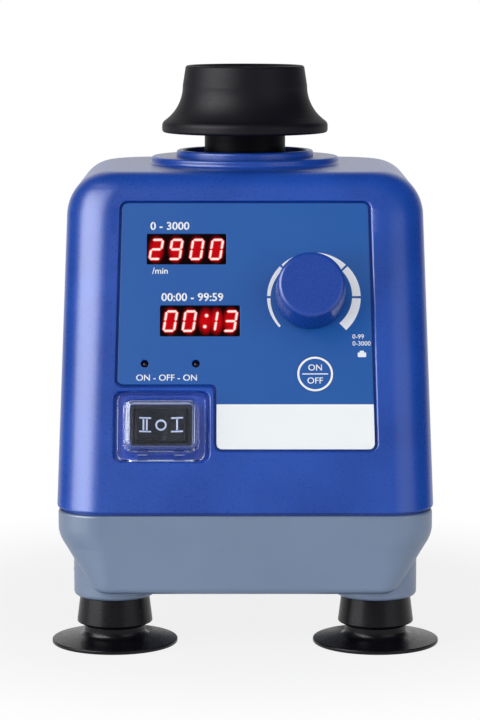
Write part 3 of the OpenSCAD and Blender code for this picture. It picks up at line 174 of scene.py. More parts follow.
def fourCorners(x, y):
    return [(sx * x, sy * y) for sx in (-1, 1) for sy in (-1, 1)]


def makeObject(name, bm):
    bmesh.ops.recalc_face_normals(bm, faces=bm.faces)
    bmesh.ops.scale(bm, vec=Vector((0.001,) * 3), verts=bm.verts)
    mesh = bpy.data.meshes.new(name)
    bm.to_mesh(mesh)
    bm.free()
    made = bpy.data.objects.new(name, mesh)
    scene.collection.objects.link(made)
    return made


def applyModifiers(piece):
    graph = bpy.context.evaluated_depsgraph_get()
    mesh = bpy.data.meshes.new_from_object(piece.evaluated_get(graph))
    piece.modifiers.clear()
    old, piece.data = piece.data, mesh
    bpy.data.meshes.remove(old)
    return piece


def carve(piece, tool, operation="DIFFERENCE"):
    modifier = piece.modifiers.new("cut", "BOOLEAN")
    modifier.object = tool
    modifier.operation = operation
    modifier.solver = "EXACT"
    applyModifiers(piece)
    bpy.data.objects.remove(tool)


def roundEdges(piece, width, segments=3, angle=40):
    bevel = piece.modifiers.new("edges", "BEVEL")
    bevel.width = width / 1000
    bevel.segments = segments
    bevel.angle_limit = math.radians(angle)
    return applyModifiers(piece)


def smoothFaces(piece, angle=32):
    # soft shading with crisp edges where faces meet at more than the angle, and flat faces kept flat
    bm = bmesh.new()
    bm.from_mesh(piece.data)
    for face in bm.faces:
        face.smooth = True
    for edge in bm.edges:
        edge.smooth = len(edge.link_faces) == 2 and edge.calc_face_angle(0) < math.radians(angle)
    bm.to_mesh(piece.data)
    bm.free()
    weights = piece.modifiers.new("weights", "WEIGHTED_NORMAL")
    weights.keep_sharp = True
    return piece


def dress(piece, material, body, slot, *replaced):
    piece.data.materials.clear()
    piece.data.materials.append(material)
    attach(piece, body)
    if replaced:
        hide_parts(*replaced)
    return piece


# camera, with millimetres for its place and degrees for its pitch
view = {"lens": 144.45, "pitch": 82.435, "place": (-1.75, -1008.5, 221.3)}


def makeCamera():
    camera = bpy.data.objects.new("camera", bpy.data.cameras.new("camera"))
    camera.data.lens = view["lens"]
    camera.data.sensor_width = 36
    camera.data.clip_end = 60
    camera.location = Vector(view["place"]) / 1000
    camera.rotation_euler = (math.radians(view["pitch"]), 0, 0)
    scene.collection.objects.link(camera)
    scene.camera = camera


makeCamera()
print("camera made")

# the housing's moulded form, which also places everything on its face and back
shell = {"width": 125, "depth": 155, "height": 108.7, "seam": 46.8, "draft": 1, "tilt": 23,
         "cornerR": 15, "sideR": 15, "frontR": 9.5, "rearR": 20, "wall": 3, "topFrontR": 4, "topRearR": 14,
         "axisY": 21.5, "orbitR": 2, "stepD": 66.4, "stepH": 2.5, "stepFoot": 1.2, "stepEdge": 0.8,
         "wellR": 23.45, "wellLow": 136, "wellHigh": 166, "inletUp": 29, "inletW": 28, "inletH": 32.6,
         "bottomEdge": 0.8}
# screws that hold the tray to the housing, in columns of each, and the pillars of the display board
screws = {"x": 52, "y": 36, "pillarR": 4.5, "pillarUp": 0.6, "pillarH": 26, "columnR": 6.2,
          "headR": 4.2, "headTop": 40, "shankR": 2.05, "shankTop": 50}
boardPillars = {"x": 38.6, "u": 25.65, "middleU": 72.65, "r": 3, "low": -8.4, "length": 6.9}
topZ = shell["seam"] + shell["height"]
tilt = math.radians(shell["tilt"])
draft = math.radians(shell["draft"])
axisPlace = Matrix.Translation((0, shell["axisY"], 0))
headPlace = Matrix.Translation((0, shell["axisY"] - shell["orbitR"], 0))


def facePlace(x=0, u=0, out=0):
    # x across the control face, u up its slope, out towards the user
    base = Matrix.Translation((0, -shell["depth"] / 2, shell["seam"]))
    return base @ Matrix.Rotation(math.pi / 2 - tilt, 4, "X") @ Matrix.Translation((x, u, out))


def rearPlace(x=0, up=0, out=0):
    wallY = shell["depth"] / 2 - shell["inletUp"] * math.tan(draft)
    base = Matrix.Translation((0, wallY, shell["seam"] + shell["inletUp"]))
    turned = base @ Matrix.Rotation(math.pi, 4, "Z") @ Matrix.Rotation(math.pi / 2 - draft, 4, "X")
    return turned @ Matrix.Translation((x, up, out))


# materials: what the mould, the tool or the print left on each surface

def addGrain(tree, shader, pitch, depth, detail=2.0):
    # pitch of the grains and their depth, both in mm
    where = addNode(tree, "ShaderNodeTexCoord").outputs["Object"]
    fine = addNode(tree, "ShaderNodeTexNoise", {"Scale": 1000 / pitch, "Detail": detail}, {"Vector": where})
    bump = addNode(tree, "ShaderNodeBump", {"Strength": 1.0, "Distance": depth / 1000},
                   {"Height": fine.outputs["Fac"]})
    tree.links.new(bump.outputs["Normal"], shader.inputs["Normal"])
    return where, fine.outputs["Fac"]


def varyColour(tree, shader, where, colour, other, patch):
    # slow drift between two colours over patches of the given size in mm
    slow = addNode(tree, "ShaderNodeTexNoise", {"Scale": 1000 / patch, "Detail": 3.0}, {"Vector": where})
    spread = addNode(tree, "ShaderNodeMapRange", {"From Min": 0.35, "From Max": 0.65},
                     {"Value": slow.outputs["Fac"]})
    mix = addNode(tree, "ShaderNodeMix", {"A": linearColour(colour), "B": linearColour(other)}, None,
                  data_type="RGBA")
    tree.links.new(spread.outputs["Result"], pick(mix.inputs, "Factor"))
    tree.links.new(pick(mix.outputs, "Result"), shader.inputs["Base Color"])
    return pick(mix.outputs, "Result")


def varyRoughness(tree, shader, source, low, high):
    spread = addNode(tree, "ShaderNodeMapRange",
                     {"From Min": 0.3, "From Max": 0.7, "To Min": low, "To Max": high}, {"Value": source})
    tree.links.new(spread.outputs["Result"], shader.inputs["Roughness"])


def mouldedPlastic(name, colour, other, rough, pitch, depth, specular=0.5):
    # satin, with the mould's fine grain breaking up each highlight
    material, tree, shader = startMaterial(name, {"IOR": 1.5, "Specular IOR Level": specular})
    where, fine = addGrain(tree, shader, pitch, depth)
    varyColour(tree, shader, where, colour, other, 22)
    varyRoughness(tree, shader, fine, rough - 0.04, rough + 0.04)
    return material


def mouldedRubber(name, colour, other, rough, pitch, depth, specular=0.5):
    # black with a soft wide highlight and a bloom of dust in its grain
    material, tree, shader = startMaterial(name, {"IOR": 1.5, "Specular IOR Level": specular})
    where, fine = addGrain(tree, shader, pitch, depth, 3.0)
    varyColour(tree, shader, where, colour, other, 9)
    varyRoughness(tree, shader, fine, rough - 0.05, rough + 0.06)
    return material


def machinedMetal(name, colour, other, rough, pitch):
    # fine tool marks round the part stretch its reflections
    material, tree, shader = startMaterial(name, {"Metallic": 1.0})
    where = addNode(tree, "ShaderNodeTexCoord").outputs["Object"]
    stretched = addNode(tree, "ShaderNodeMapping", {"Scale": (0.15, 0.15, 1.0)}, {"Vector": where})
    marks = addNode(tree, "ShaderNodeTexNoise", {"Scale": 1000 / pitch, "Detail": 4.0},
                    {"Vector": stretched.outputs["Vector"]})
    bump = addNode(tree, "ShaderNodeBump", {"Strength": 0.5, "Distance": 0.00002},
                   {"Height": marks.outputs["Fac"]})
    tree.links.new(bump.outputs["Normal"], shader.inputs["Normal"])
    varyColour(tree, shader, where, colour, other, 6)
    varyRoughness(tree, shader, marks.outputs["Fac"], rough - 0.06, rough + 0.08)
    return material


def toFace(tree, where):
    # the point's place on the control face: across, up the slope and out, in metres
    flat = addNode(tree, "ShaderNodeMapping",
                   {"Location": facePlace().translation / 1000, "Rotation": (math.pi / 2 - tilt, 0, 0)},
                   {"Vector": where}, vector_type="TEXTURE")
    return flat.outputs["Vector"]


# the control panel, up the slope from the seam; the lower right of its print is a bare white field
panel = {"side": 19.0, "top": 10.4, "bottom": 21.5, "cornerR": 2.3, "recess": 1.2, "film": 0.8, "gap": 0.4,
         "moat": 0.35, "trench": 1.8, "labelTop": 37.2, "notchGap": 2.2, "notchUp": 2, "ink": 0.05,
         "under": 0.02, "sunk": -0.02}
switch = {"x": -27.8, "u": 29.6, "pocketW": 31.4, "pocketH": 24, "pocketT": 2, "pocketR": 2.6,
          "holeW": 18.6, "holeH": 12.4}
knob = {"x": 21.8, "u": 74.8, "baseR": 11.85, "faceR": 11.2, "length": 13, "edge": 1.6, "lift": 0.9,
        "hollowR": 7.5, "hollowDepth": 4.5, "shaftHoleR": 3.6}
key = {"x": 23.2, "u": 47.6, "stemHoleR": 2.8, "ringR": 5.95, "ringInnerR": 5.25, "barW": 8.6, "barH": 0.35}
indicators = {"places": (-33.4, -16.4), "u": 51.2, "holeR": 1.35}
display = {"speed": (-19.7, 91.1), "timer": (-15.1, 66), "holeW": 31, "holeH": 15, "face": -0.9}
digit = {"w": 4.15, "h": 7.4, "stroke": 0.68, "slant": 8.5, "halo": 0.3, "barGap": 0.12, "dotR": 0.55,
         "dotY": 1.9, "core": "#fff0ec", "edge": "#ee2318"}
filmTop = panel["film"] - panel["recess"]


def printedFilm(name, blue, otherBlue, white, labelTop):
    # screen-printed polyester: fine velvet texture, ink colours with a crisp edge between them
    material, tree, shader = startMaterial(name, {"IOR": 1.5, "Specular IOR Level": 0.3})
    where, fine = addGrain(tree, shader, 0.35, 0.004)
    ink = varyColour(tree, shader, where, blue, otherBlue, 30)
    up = addNode(tree, "ShaderNodeSeparateXYZ", None, {"Vector": toFace(tree, where)}).outputs["Y"]
    isWhite = addNode(tree, "ShaderNodeMath", {1: labelTop / 1000}, {0: up}, operation="LESS_THAN")
    mix = addNode(tree, "ShaderNodeMix", {"B": linearColour(white)},
                  {"Factor": isWhite.outputs["Value"], "A": ink}, data_type="RGBA")
    tree.links.new(pick(mix.outputs, "Result"), shader.inputs["Base Color"])
    varyRoughness(tree, shader, fine, 0.4, 0.5)
    return material


def displayFilter(name, dark, lit, digits):
    # red acrylic window: near black where nothing is lit, glowing round each lit digit
    material, tree, shader = startMaterial(
        name, {"IOR": 1.49, "Roughness": 0.22, "Specular IOR Level": 0.1, "Emission Strength": 1.0,
               "Base Color": linearColour(dark)})
    where = addNode(tree, "ShaderNodeTexCoord").outputs["Object"]
    flat = toFace(tree, where)
    glow = None
    for x, u in digits:
        away = addNode(tree, "ShaderNodeVectorMath", {1: (x / 1000, u / 1000, display["face"] / 1000)},
                       {0: flat}, operation="SUBTRACT")
        scaled = addNode(tree, "ShaderNodeVectorMath",
                         {1: (2000 / digit["w"], 2000 / digit["h"], 1)}, {0: away.outputs["Vector"]},
                         operation="MULTIPLY")
        reach = addNode(tree, "ShaderNodeVectorMath", None, {0: scaled.outputs["Vector"]},
                        operation="LENGTH")
        near = addNode(tree, "ShaderNodeMapRange",
                       {"From Min": 1.5, "From Max": 0.5}, {"Value": reach.outputs["Value"]},
                       interpolation_type="SMOOTHSTEP")
        here = near.outputs["Result"]
        if glow is not None:
            both = addNode(tree, "ShaderNodeMath", None, {0: glow, 1: here}, operation="MAXIMUM")
            here = both.outputs["Value"]
        glow = here
    mottle = addNode(tree, "ShaderNodeTexNoise", {"Scale": 1000 / 2.5}, {"Vector": where})
    uneven = addNode(tree, "ShaderNodeMapRange", {"To Min": 0.7, "To Max": 1.1},
                     {"Value": mottle.outputs["Fac"]})
    amount = addNode(tree, "ShaderNodeMath", None, {0: glow, 1: uneven.outputs["Result"]},
                     operation="MULTIPLY", use_clamp=True)
    mix = addNode(tree, "ShaderNodeMix", {"A": linearColour(dark), "B": linearColour(lit)},
                  {"Factor": amount.outputs["Value"]}, data_type="RGBA")
    tree.links.new(pick(mix.outputs, "Result"), shader.inputs["Emission Color"])
    return material


def litSegment(name, colour, strength):
    # light-emitting segment behind the window: even, with no shading of its own
    material, tree, shader = startMaterial(name, {"Base Color": linearColour("#180204"), "Roughness": 0.5,
                                                  "Emission Strength": strength})
    where = addNode(tree, "ShaderNodeTexCoord").outputs["Object"]
    cells = addNode(tree, "ShaderNodeTexNoise", {"Scale": 1000 / 1.2}, {"Vector": where})
    spread = addNode(tree, "ShaderNodeMapRange", {"To Min": 0.92, "To Max": 1.0},
                     {"Value": cells.outputs["Fac"]})
    tint = addNode(tree, "ShaderNodeMix", {"A": (0, 0, 0, 1), "B": linearColour(colour)},
                   {"Factor": spread.outputs["Result"]}, data_type="RGBA")
    tree.links.new(pick(tint.outputs, "Result"), shader.inputs["Emission Color"])
    return material


def clearMoulding(name, tint, rough):
    # soft clear PVC: light passes through, and its rims and corners catch bright lines
    material, tree, shader = startMaterial(name, {"Base Color": linearColour(tint), "IOR": 1.45,
                                                  "Transmission Weight": 1.0, "Roughness": rough})
    where = addNode(tree, "ShaderNodeTexCoord").outputs["Object"]
    ripple = addNode(tree, "ShaderNodeTexNoise", {"Scale": 1000 / 5, "Detail": 1.0}, {"Vector": where})
    bump = addNode(tree, "ShaderNodeBump", {"Strength": 0.3, "Distance": 0.0001},
                   {"Height": ripple.outputs["Fac"]})
    tree.links.new(bump.outputs["Normal"], shader.inputs["Normal"])
    ray = addNode(tree, "ShaderNodeLightPath")
    passing = addNode(tree, "ShaderNodeBsdfTransparent", {"Color": linearColour("#8f98b4")})
    either = addNode(tree, "ShaderNodeMixShader", None,
                     {0: ray.outputs["Is Shadow Ray"], 1: shader.outputs["BSDF"],
                      2: passing.outputs["BSDF"]})
    tree.links.new(either.outputs["Shader"], tree.nodes["Material Output"].inputs["Surface"])
    return material


absBlue = mouldedPlastic("sparkErodedAbsBlue", "#0c43a5", "#164db3", 0.3, 0.6, 0.025, 0.5)
nylonBlue = mouldedPlastic("satinNylonBlue", "#0d40a0", "#1143a5", 0.28, 0.4, 0.01, 0.5)
absGrey = mouldedPlastic("satinAbsGrey", "#7083a1", "#6c7f9d", 0.4, 0.5, 0.012, 0.8)
rubberFoot = mouldedRubber("glossyNitrileRubber", "#0b0a10", "#100f15", 0.3, 0.9, 0.002, 0.2)
rubberCup = mouldedRubber("satinSiliconeRubber", "#0b0914", "#0e0c17", 0.5, 0.7, 0.008, 0.17)
nylonBlack = mouldedPlastic("satinNylonBlack", "#0a0a10", "#0d0d13", 0.45, 0.5, 0.01, 0.06)
polyamideBlack = mouldedPlastic("satinPolyamideBlack", "#17171a", "#1c1c20", 0.36, 0.5, 0.01, 0.4)
rockerAbs = mouldedPlastic("semiGlossAbsBlack", "#0b0b10", "#0f0f14", 0.3, 0.4, 0.005, 0.15)
plungerRed = mouldedPlastic("semiGlossAcetalRed", "#9e1a14", "#aa2018", 0.3, 0.4, 0.004)
acetalWhite = mouldedPlastic("satinAcetalWhite", "#e2e1dc", "#dad9d3", 0.4, 0.4, 0.004)
encoderNylon = mouldedPlastic("satinNylonGreen", "#2b3f30", "#304535", 0.42, 0.5, 0.01)
inkWhite = mouldedPlastic("screenPrintedInkWhite", "#f4f7fb", "#eef2f8", 0.5, 0.35, 0.003, 0.3)
filmPolyester = printedFilm("screenPrintedPolyester", "#0055a8", "#0458aa", "#f1f6f8", panel["labelTop"])
segmentCore = litSegment("litSegmentCore", digit["core"], 1.0)
segmentEdge = litSegment("litSegmentEdge", digit["edge"], 0.9)
clearPvc = clearMoulding("clearMouldedPvc", "#d5dbe8", 0.05)
zincSteel = machinedMetal("zincPlatedSteel", "#b9babd", "#a9abb0", 0.34, 0.5)
brightSteel = machinedMetal("groundSteel", "#c9cacd", "#bcbec2", 0.2, 0.3)
castPaint = mouldedPlastic("primedSteelGrey", "#43464b", "#3c3f44", 0.55, 0.8, 0.02)
canPaint = mouldedPlastic("powderCoatedSteelGrey", "#35383d", "#303338", 0.5, 0.6, 0.03)
aluminium = machinedMetal("turnedAluminium", "#c9cbce", "#bec1c5", 0.3, 0.4)
brass = machinedMetal("turnedBrass", "#cba65a", "#bf9a4f", 0.28, 0.4)
springWire = machinedMetal("drawnSpringWire", "#9da0a6", "#8f9298", 0.3, 0.25)
coreSteel = machinedMetal("laminatedCoreSteel", "#70757c", "#5f646b", 0.45, 0.5)
copperWire = machinedMetal("enamelledCopper", "#b3683a", "#a15a30", 0.3, 0.4)
nickel = machinedMetal("nickelPlatedBrass", "#c4c0b6", "#b6b2a8", 0.24, 0.3)
boardLaminate = mouldedPlastic("glossySolderMaskGreen", "#17522a", "#1b5c30", 0.25, 0.8, 0.006)
mixedParts = mouldedPlastic("semiGlossEpoxyDark", "#2f343d", "#383e48", 0.35, 0.5, 0.006)
lensRed = mouldedPlastic("tintedLensUnlit", "#170508", "#1d070b", 0.2, 0.4, 0.002)

speedDigits = [("2", -10.2), ("9", -3.6), ("0", 3.45), ("0", 10.0)]
timerDigits = [("0", -9.9), ("0", -3.55), (":", 1.9), ("1", 5.4), ("3", 10.15)]


def digitCentres(name, digits):
    x, u = display[name]
    return [(x + dx, u) for text, dx in digits]


slotFinish = {
    "housing_blue": absBlue, "knob_blue": nylonBlue, "base_grey": absGrey, "foot_rubber": rubberFoot,
    "cup_rubber": rubberCup, "carrier_black": nylonBlack, "zinc_steel": zincSteel,
    "bright_steel": brightSteel, "ballast_paint": castPaint, "black_plastic": polyamideBlack,
    "rocker_black": rockerAbs, "red_plastic": plungerRed, "aluminium": aluminium, "brass": brass,
    "spring_steel": springWire, "motor_paint": canPaint, "core_steel": coreSteel,
    "copper_wire": copperWire, "overlay_blue": filmPolyester, "board_green": boardLaminate,
    "led_red": lensRed, "encoder_green": encoderNylon, "white_plastic": acetalWhite,
    "clear_boot": clearPvc, "board_parts": mixedParts, "nickel": nickel}
nodeFinish = {
    "speed_display": displayFilter("tintedAcrylicSpeed", "#0a0102", "#cc040e",
                                   digitCentres("speed", speedDigits)),
    "timer_display": displayFilter("tintedAcrylicTimer", "#0a0102", "#cc040e",
                                   digitCentres("timer", timerDigits))}
for row in frame["record"]["subparts"]:
    finish = nodeFinish.get(row["node"]) or slotFinish[row["material_slot"]]
    for holder in frame["nodes"][row["node"]].material_slots:
        holder.material = finish
print("materials made:", len(bpy.data.materials))


# housing: the same moulding as the solid, with finer corners and edges

def edgeCentre(radius, lean, reach):
    # height and distance of an edge arc's centre, for a wall that leans in from its place at the seam
    z = topZ - radius
    return z, reach - (z - shell["seam"]) * math.tan(lean) - radius / math.cos(lean)


sideZ, sideX = edgeCentre(shell["sideR"], draft, shell["width"] / 2)
frontZ, frontY = edgeCentre(shell["frontR"], tilt, shell["depth"] / 2)
rearZ, rearY = edgeCentre(shell["rearR"], draft, shell["depth"] / 2)


def wallReach(z, inset, radius, lean, centreZ, centre, reach):
    if z < centreZ + (radius - inset) * math.sin(lean):
        return reach - (z - shell["seam"]) * math.tan(lean) - inset / math.cos(lean)
    return centre + math.sqrt(max(0, (radius - inset) ** 2 - (z - centreZ) ** 2))


def levelRing(w, front, back, frontR, backR, z, steps=20):
    # each corner has one radius across and one along
    turns = [math.pi / 2 * k / steps for k in range(steps + 1)]
    (fx, fy), (bx, by) = frontR, backR
    right = ([(w - fx + fx * math.sin(t), front + fy - fy * math.cos(t), z) for t in turns]
             + [(w - bx + bx * math.cos(t), back - by + by * math.sin(t), z) for t in turns])
    return right + [(-x, y, z) for x, y, z in reversed(right)]


def housingRing(z, inset):
    w = wallReach(z, inset, shell["sideR"], draft, sideZ, sideX, shell["width"] / 2)
    f = wallReach(z, inset, shell["frontR"], tilt, frontZ, frontY, shell["depth"] / 2)
    b = wallReach(z, inset, shell["rearR"], draft, rearZ, rearY, shell["depth"] / 2)
    r, low, high = shell["cornerR"] - inset, shell["topFrontR"], shell["topRearR"]
    return levelRing(w, -f, b, (min(r, w - sideX + low), min(r, f - frontY + low)),
                     (min(r, w - sideX + high), min(r, b - rearY + high)), z)


def housingRings(inset, startZ, levels):
    drop = max(shell["sideR"], shell["rearR"]) - inset
    return [housingRing(startZ, inset)] + [
        housingRing(topZ - inset - drop * (1 - k / levels) ** 2, inset) for k in range(levels + 1)]


def faceHalfWidth(u):
    return shell["width"] / 2 - u * math.cos(tilt) * math.tan(draft) - panel["side"]


def panelPath(gap):
    top = shell["height"] / math.cos(tilt) - panel["top"]
    low = panel["bottom"]
    notchX = switch["x"] + switch["pocketW"] / 2 + panel["notchGap"]
    notchU = switch["u"] + switch["pocketH"] / 2 + panel["notchUp"]
    r = panel["cornerR"]
    corners = [(-faceHalfWidth(top) + gap, top - gap, r - gap),
               (-faceHalfWidth(notchU) + gap, notchU + gap, r - gap),
               (notchX + gap, notchU + gap, r + gap), (notchX + gap, low + gap, r - gap),
               (faceHalfWidth(low) - gap, low + gap, r - gap),
               (faceHalfWidth(top) - gap, top - gap, r - gap)]
    return roundedPath(corners)


def flaredCutter(bm, place, pathAt, depth):
    # straight walls with a soft rim where they meet the face
    steps = [(0, -depth), (0, -0.9), (-0.07, -0.55), (-0.23, -0.26), (-0.5, -0.07), (-0.85, 0.01),
             (-0.85, 1)]
    loftInto(bm, [[place @ Vector((x, y, out)) for x, y in pathAt(gap)] for gap, out in steps])


def makeHousing():
    bm = bmesh.new()
    rings = housingRings(0, shell["seam"] + shell["bottomEdge"], 48)
    edge = [housingRing(shell["seam"] + shell["bottomEdge"] * (1 - math.sin(t)),
                        shell["bottomEdge"] * (1 - math.cos(t))) for t in (math.pi / 2, math.pi / 4)]
    loftInto(bm, edge + rings)
    housing = makeObject("housingShell", bm)
    bm = bmesh.new()
    stepR, low, high = shell["stepD"] / 2, topZ - 2, topZ + shell["stepH"]
    footR, edgeR = shell["stepFoot"], shell["stepEdge"]
    latheInto(bm, [(0, low), (stepR + footR, low)]
              + arcPoints(stepR + footR, topZ + footR, footR, 270, 180, 8)
              + arcPoints(stepR - edgeR, high - edgeR, edgeR, 0, 90, 6) + [(0, high)], axisPlace)
    carve(housing, makeObject("step", bm), "UNION")
    bm = bmesh.new()
    loftInto(bm, housingRings(shell["wall"], shell["seam"] - 1, 12))
    carve(housing, makeObject("hollow", bm))
    bm = bmesh.new()
    for (x, y), (across, up) in zip(fourCorners(screws["x"], screws["y"]),
                                    fourCorners(boardPillars["x"], boardPillars["u"])):
        place = Matrix.Translation((x, y, shell["seam"] + screws["pillarUp"]))
        cylinderInto(bm, place, screws["pillarR"], 0, screws["pillarH"])
        place = facePlace(across, boardPillars["middleU"] + up, boardPillars["low"])
        cylinderInto(bm, place, boardPillars["r"], 0, boardPillars["length"])
    carve(housing, makeObject("columns", bm), "UNION")
    bm = bmesh.new()
    flaredCutter(bm, facePlace(), lambda gap: panelPath(gap - panel["moat"]),
                 panel["recess"] + panel["under"])
    carve(housing, makeObject("recess", bm))
    trench, island = bmesh.new(), bmesh.new()
    prismInto(trench, facePlace(), panelPath(-panel["moat"]), -panel["trench"], -0.9)
    prismInto(island, facePlace(), panelPath(panel["gap"] + 0.2), -5, 1)
    trench = makeObject("trench", trench)
    carve(trench, makeObject("island", island))
    carve(housing, trench)
    bm = bmesh.new()
    flaredCutter(bm, facePlace(switch["x"], switch["u"]),
                 lambda gap: boxPath(switch["pocketW"] - 2 * gap, switch["pocketH"] - 2 * gap,
                                     switch["pocketR"] - gap), switch["pocketT"])
    cylinderInto(bm, axisPlace, shell["wellR"], shell["wellLow"], shell["wellHigh"], 128)
    carve(housing, makeObject("pockets", bm))
    bm = bmesh.new()
    for x, u in (display["speed"], display["timer"]):
        prismInto(bm, facePlace(x, u), boxPath(display["holeW"], display["holeH"], 0.5, 3), -10, 2)
    prismInto(bm, facePlace(switch["x"], switch["u"]), boxPath(switch["holeW"], switch["holeH"], 0.6, 3),
              -10, 2)
    holes = [(knob["x"], knob["u"], knob["shaftHoleR"]), (key["x"], key["u"], key["stemHoleR"])]
    holes += [(x, indicators["u"], indicators["holeR"]) for x in indicators["places"]]
    for x, u, r in holes:
        cylinderInto(bm, facePlace(x, u), r, -10, 2)
    prismInto(bm, rearPlace(), boxPath(shell["inletW"], shell["inletH"], 2), -10, 5)
    carve(housing, makeObject("openings", bm))
    dress(smoothFaces(housing, 30), absBlue, "chassis", "housing_blue", "housing_shell")


makeHousing()

# collar in the housing's top, with the well that the head turns in
collar = {"wellZ": 147, "depth": 13.2, "bore": 22.05, "outer": 24.3, "height": 2.2, "sleeve": 23.4,
          "wellBore": 17.5, "floor": 2, "lipT": 1.5, "lipH": 2.2, "outerEdge": 0.9, "innerEdge": 0.5}


def makeCollar():
    c, bm = collar, bmesh.new()
    lip = c["wellBore"] + c["lipT"]
    outerR, innerR = c["outerEdge"], c["innerEdge"]
    latheRing(bm, [(c["wellBore"], 0), (c["sleeve"], 0), (c["sleeve"], c["depth"] - c["height"]),
                   (c["outer"], c["depth"] - c["height"])]
              + arcPoints(c["outer"] - outerR, c["depth"] - outerR, outerR, 0, 90, 8)
              + arcPoints(c["bore"] + innerR, c["depth"] - innerR, innerR, 90, 180, 6)
              + arcPoints(c["bore"] - 1, c["floor"] + 1, 1, 0, -90, 5)
              + [(lip, c["floor"])]
              + arcPoints(lip - 0.6, c["floor"] + c["lipH"] - 0.6, 0.6, 0, 90, 4)
              + [(c["wellBore"], c["floor"] + c["lipH"])],
              axisPlace @ Matrix.Translation((0, 0, c["wellZ"])), 160)
    dress(smoothFaces(makeObject("collarRing", bm)), absBlue, "chassis", "housing_blue", "collar_ring")


makeCollar()
print("housing made")

# base tray: an upright band, slanted sides below it, and round bosses over the feet
tray = {"inset": 0.4, "height": 27.3, "band": 9.4, "slant": 12.6, "blend": 3.2, "cornerR": 5, "edgeR": 2.5,
        "groove": 0.9, "grooveDepth": 1.8, "topEdge": 0.8, "wall": 3, "bossR": 13.55, "bossEdge": 1.4,
        "footH": 16.3, "bossDrop": 3.2, "footX": 43.7, "footY": 58.7}
trayZ = tray["footH"] + tray["bossDrop"]
slantTop = trayZ + tray["height"] - tray["band"]


def trayHalfWidth(z, inset):
    rise, slope, blend = z - slantTop, tray["slant"] / (slantTop - trayZ), tray["blend"]
    cut = slope * (blend - rise) ** 2 / (4 * blend)
    cut = 0 if rise > blend else -slope * rise if rise < -blend else cut
    return shell["width"] / 2 - tray["inset"] - cut - inset * (math.hypot(1, slope) if rise < 0 else 1)


def trayRing(z, inset, edge=0):
    full = shell["cornerR"] - tray["inset"]
    cut = trayHalfWidth(trayZ, 0) - tray["cornerR"]
    r = min(full, trayHalfWidth(z, 0) - cut) - inset - edge
    w = trayHalfWidth(z, inset) - edge
    d = shell["depth"] / 2 - tray["inset"] - inset - edge
    return levelRing(w, -d, d, (r, r), (r, r), z)


def makeTray():
    bm = bmesh.new()
    high, edge = shell["seam"] - tray["groove"], tray["topEdge"]
    low = [trayRing(trayZ + tray["edgeR"] * (1 - math.sin(t)), 0, tray["edgeR"] * (1 - math.cos(t)))
           for t in [math.pi / 2 * (1 - k / 8) for k in range(9)]]
    middle = [trayRing(slantTop + tray["blend"] * k / 8, 0) for k in range(-8, 9)]
    top = [trayRing(high - edge * (1 - math.sin(t)), 0, edge * (1 - math.cos(t)))
           for t in [math.pi / 2 * k / 6 for k in range(7)]]
    loftInto(bm, low + middle + top)
    base = makeObject("baseTray", bm)
    lip, inside = bmesh.new(), bmesh.new()
    loftInto(lip, [trayRing(z, tray["grooveDepth"]) for z in (high - 0.05, shell["seam"] + 0.05)])
    loftInto(inside, [trayRing(z, tray["wall"]) for z in (high - 1, shell["seam"] + 1)])
    lip = makeObject("seamLip", lip)
    carve(lip, makeObject("inside", inside))
    dress(smoothFaces(lip, 28), absBlue, "chassis", "housing_blue")
    bm = bmesh.new()
    e, r = tray["bossEdge"], tray["bossR"]
    for x, y in fourCorners(tray["footX"], tray["footY"]):
        place = Matrix.Translation((x, y, tray["footH"]))
        latheInto(bm, [(0, 0)] + arcPoints(r - e, e, e, 270, 360, 8)
                  + [(r, slantTop - tray["footH"]), (0, slantTop - tray["footH"])], place, 96)
    carve(base, makeObject("bosses", bm), "UNION")
    bm = bmesh.new()
    loftInto(bm, [trayRing(z, tray["wall"]) for z in
                  [trayZ + tray["wall"]] + [slantTop + tray["blend"] * k / 4 for k in range(-4, 5)]
                  + [shell["seam"] + 1]])
    carve(base, makeObject("hollow", bm))
    bm = bmesh.new()
    for x, y in fourCorners(screws["x"], screws["y"]):
        cylinderInto(bm, Matrix.Translation((x, y, 0)), screws["columnR"], trayZ + 1, shell["seam"], 48)
    columns = makeObject("columns", bm)
    bm = bmesh.new()
    loftInto(bm, low[-1:] + middle + [trayRing(shell["seam"] + 1, 0.5)])
    carve(columns, makeObject("outline", bm), "INTERSECT")
    carve(base, columns, "UNION")
    bm = bmesh.new()
    headR, shankR = screws["headR"], screws["shankR"]
    bore = [(0, trayZ - 1), (headR, trayZ - 1), (headR, screws["headTop"]), (shankR, screws["headTop"]),
            (shankR, screws["shankTop"]), (0, screws["shankTop"])]
    for x, y in fourCorners(screws["x"], screws["y"]):
        latheInto(bm, bore, Matrix.Translation((x, y, 0)), 48)
    carve(base, makeObject("counterbores", bm))
    dress(smoothFaces(base, 28), absGrey, "chassis", "base_grey", "base_tray")


makeTray()
print("base made")

# suction feet: a wide thin disc, a waist and a skirt below the tray's boss
foot = {"height": 16.3, "discR": 21, "rearDiscR": 20.5, "topR": 11.55, "skirtR": 12.6, "skirtH": 9.3,
        "neckR": 10.25, "hollowR": 4, "hollowH": 1.9, "neckFillet": 2}


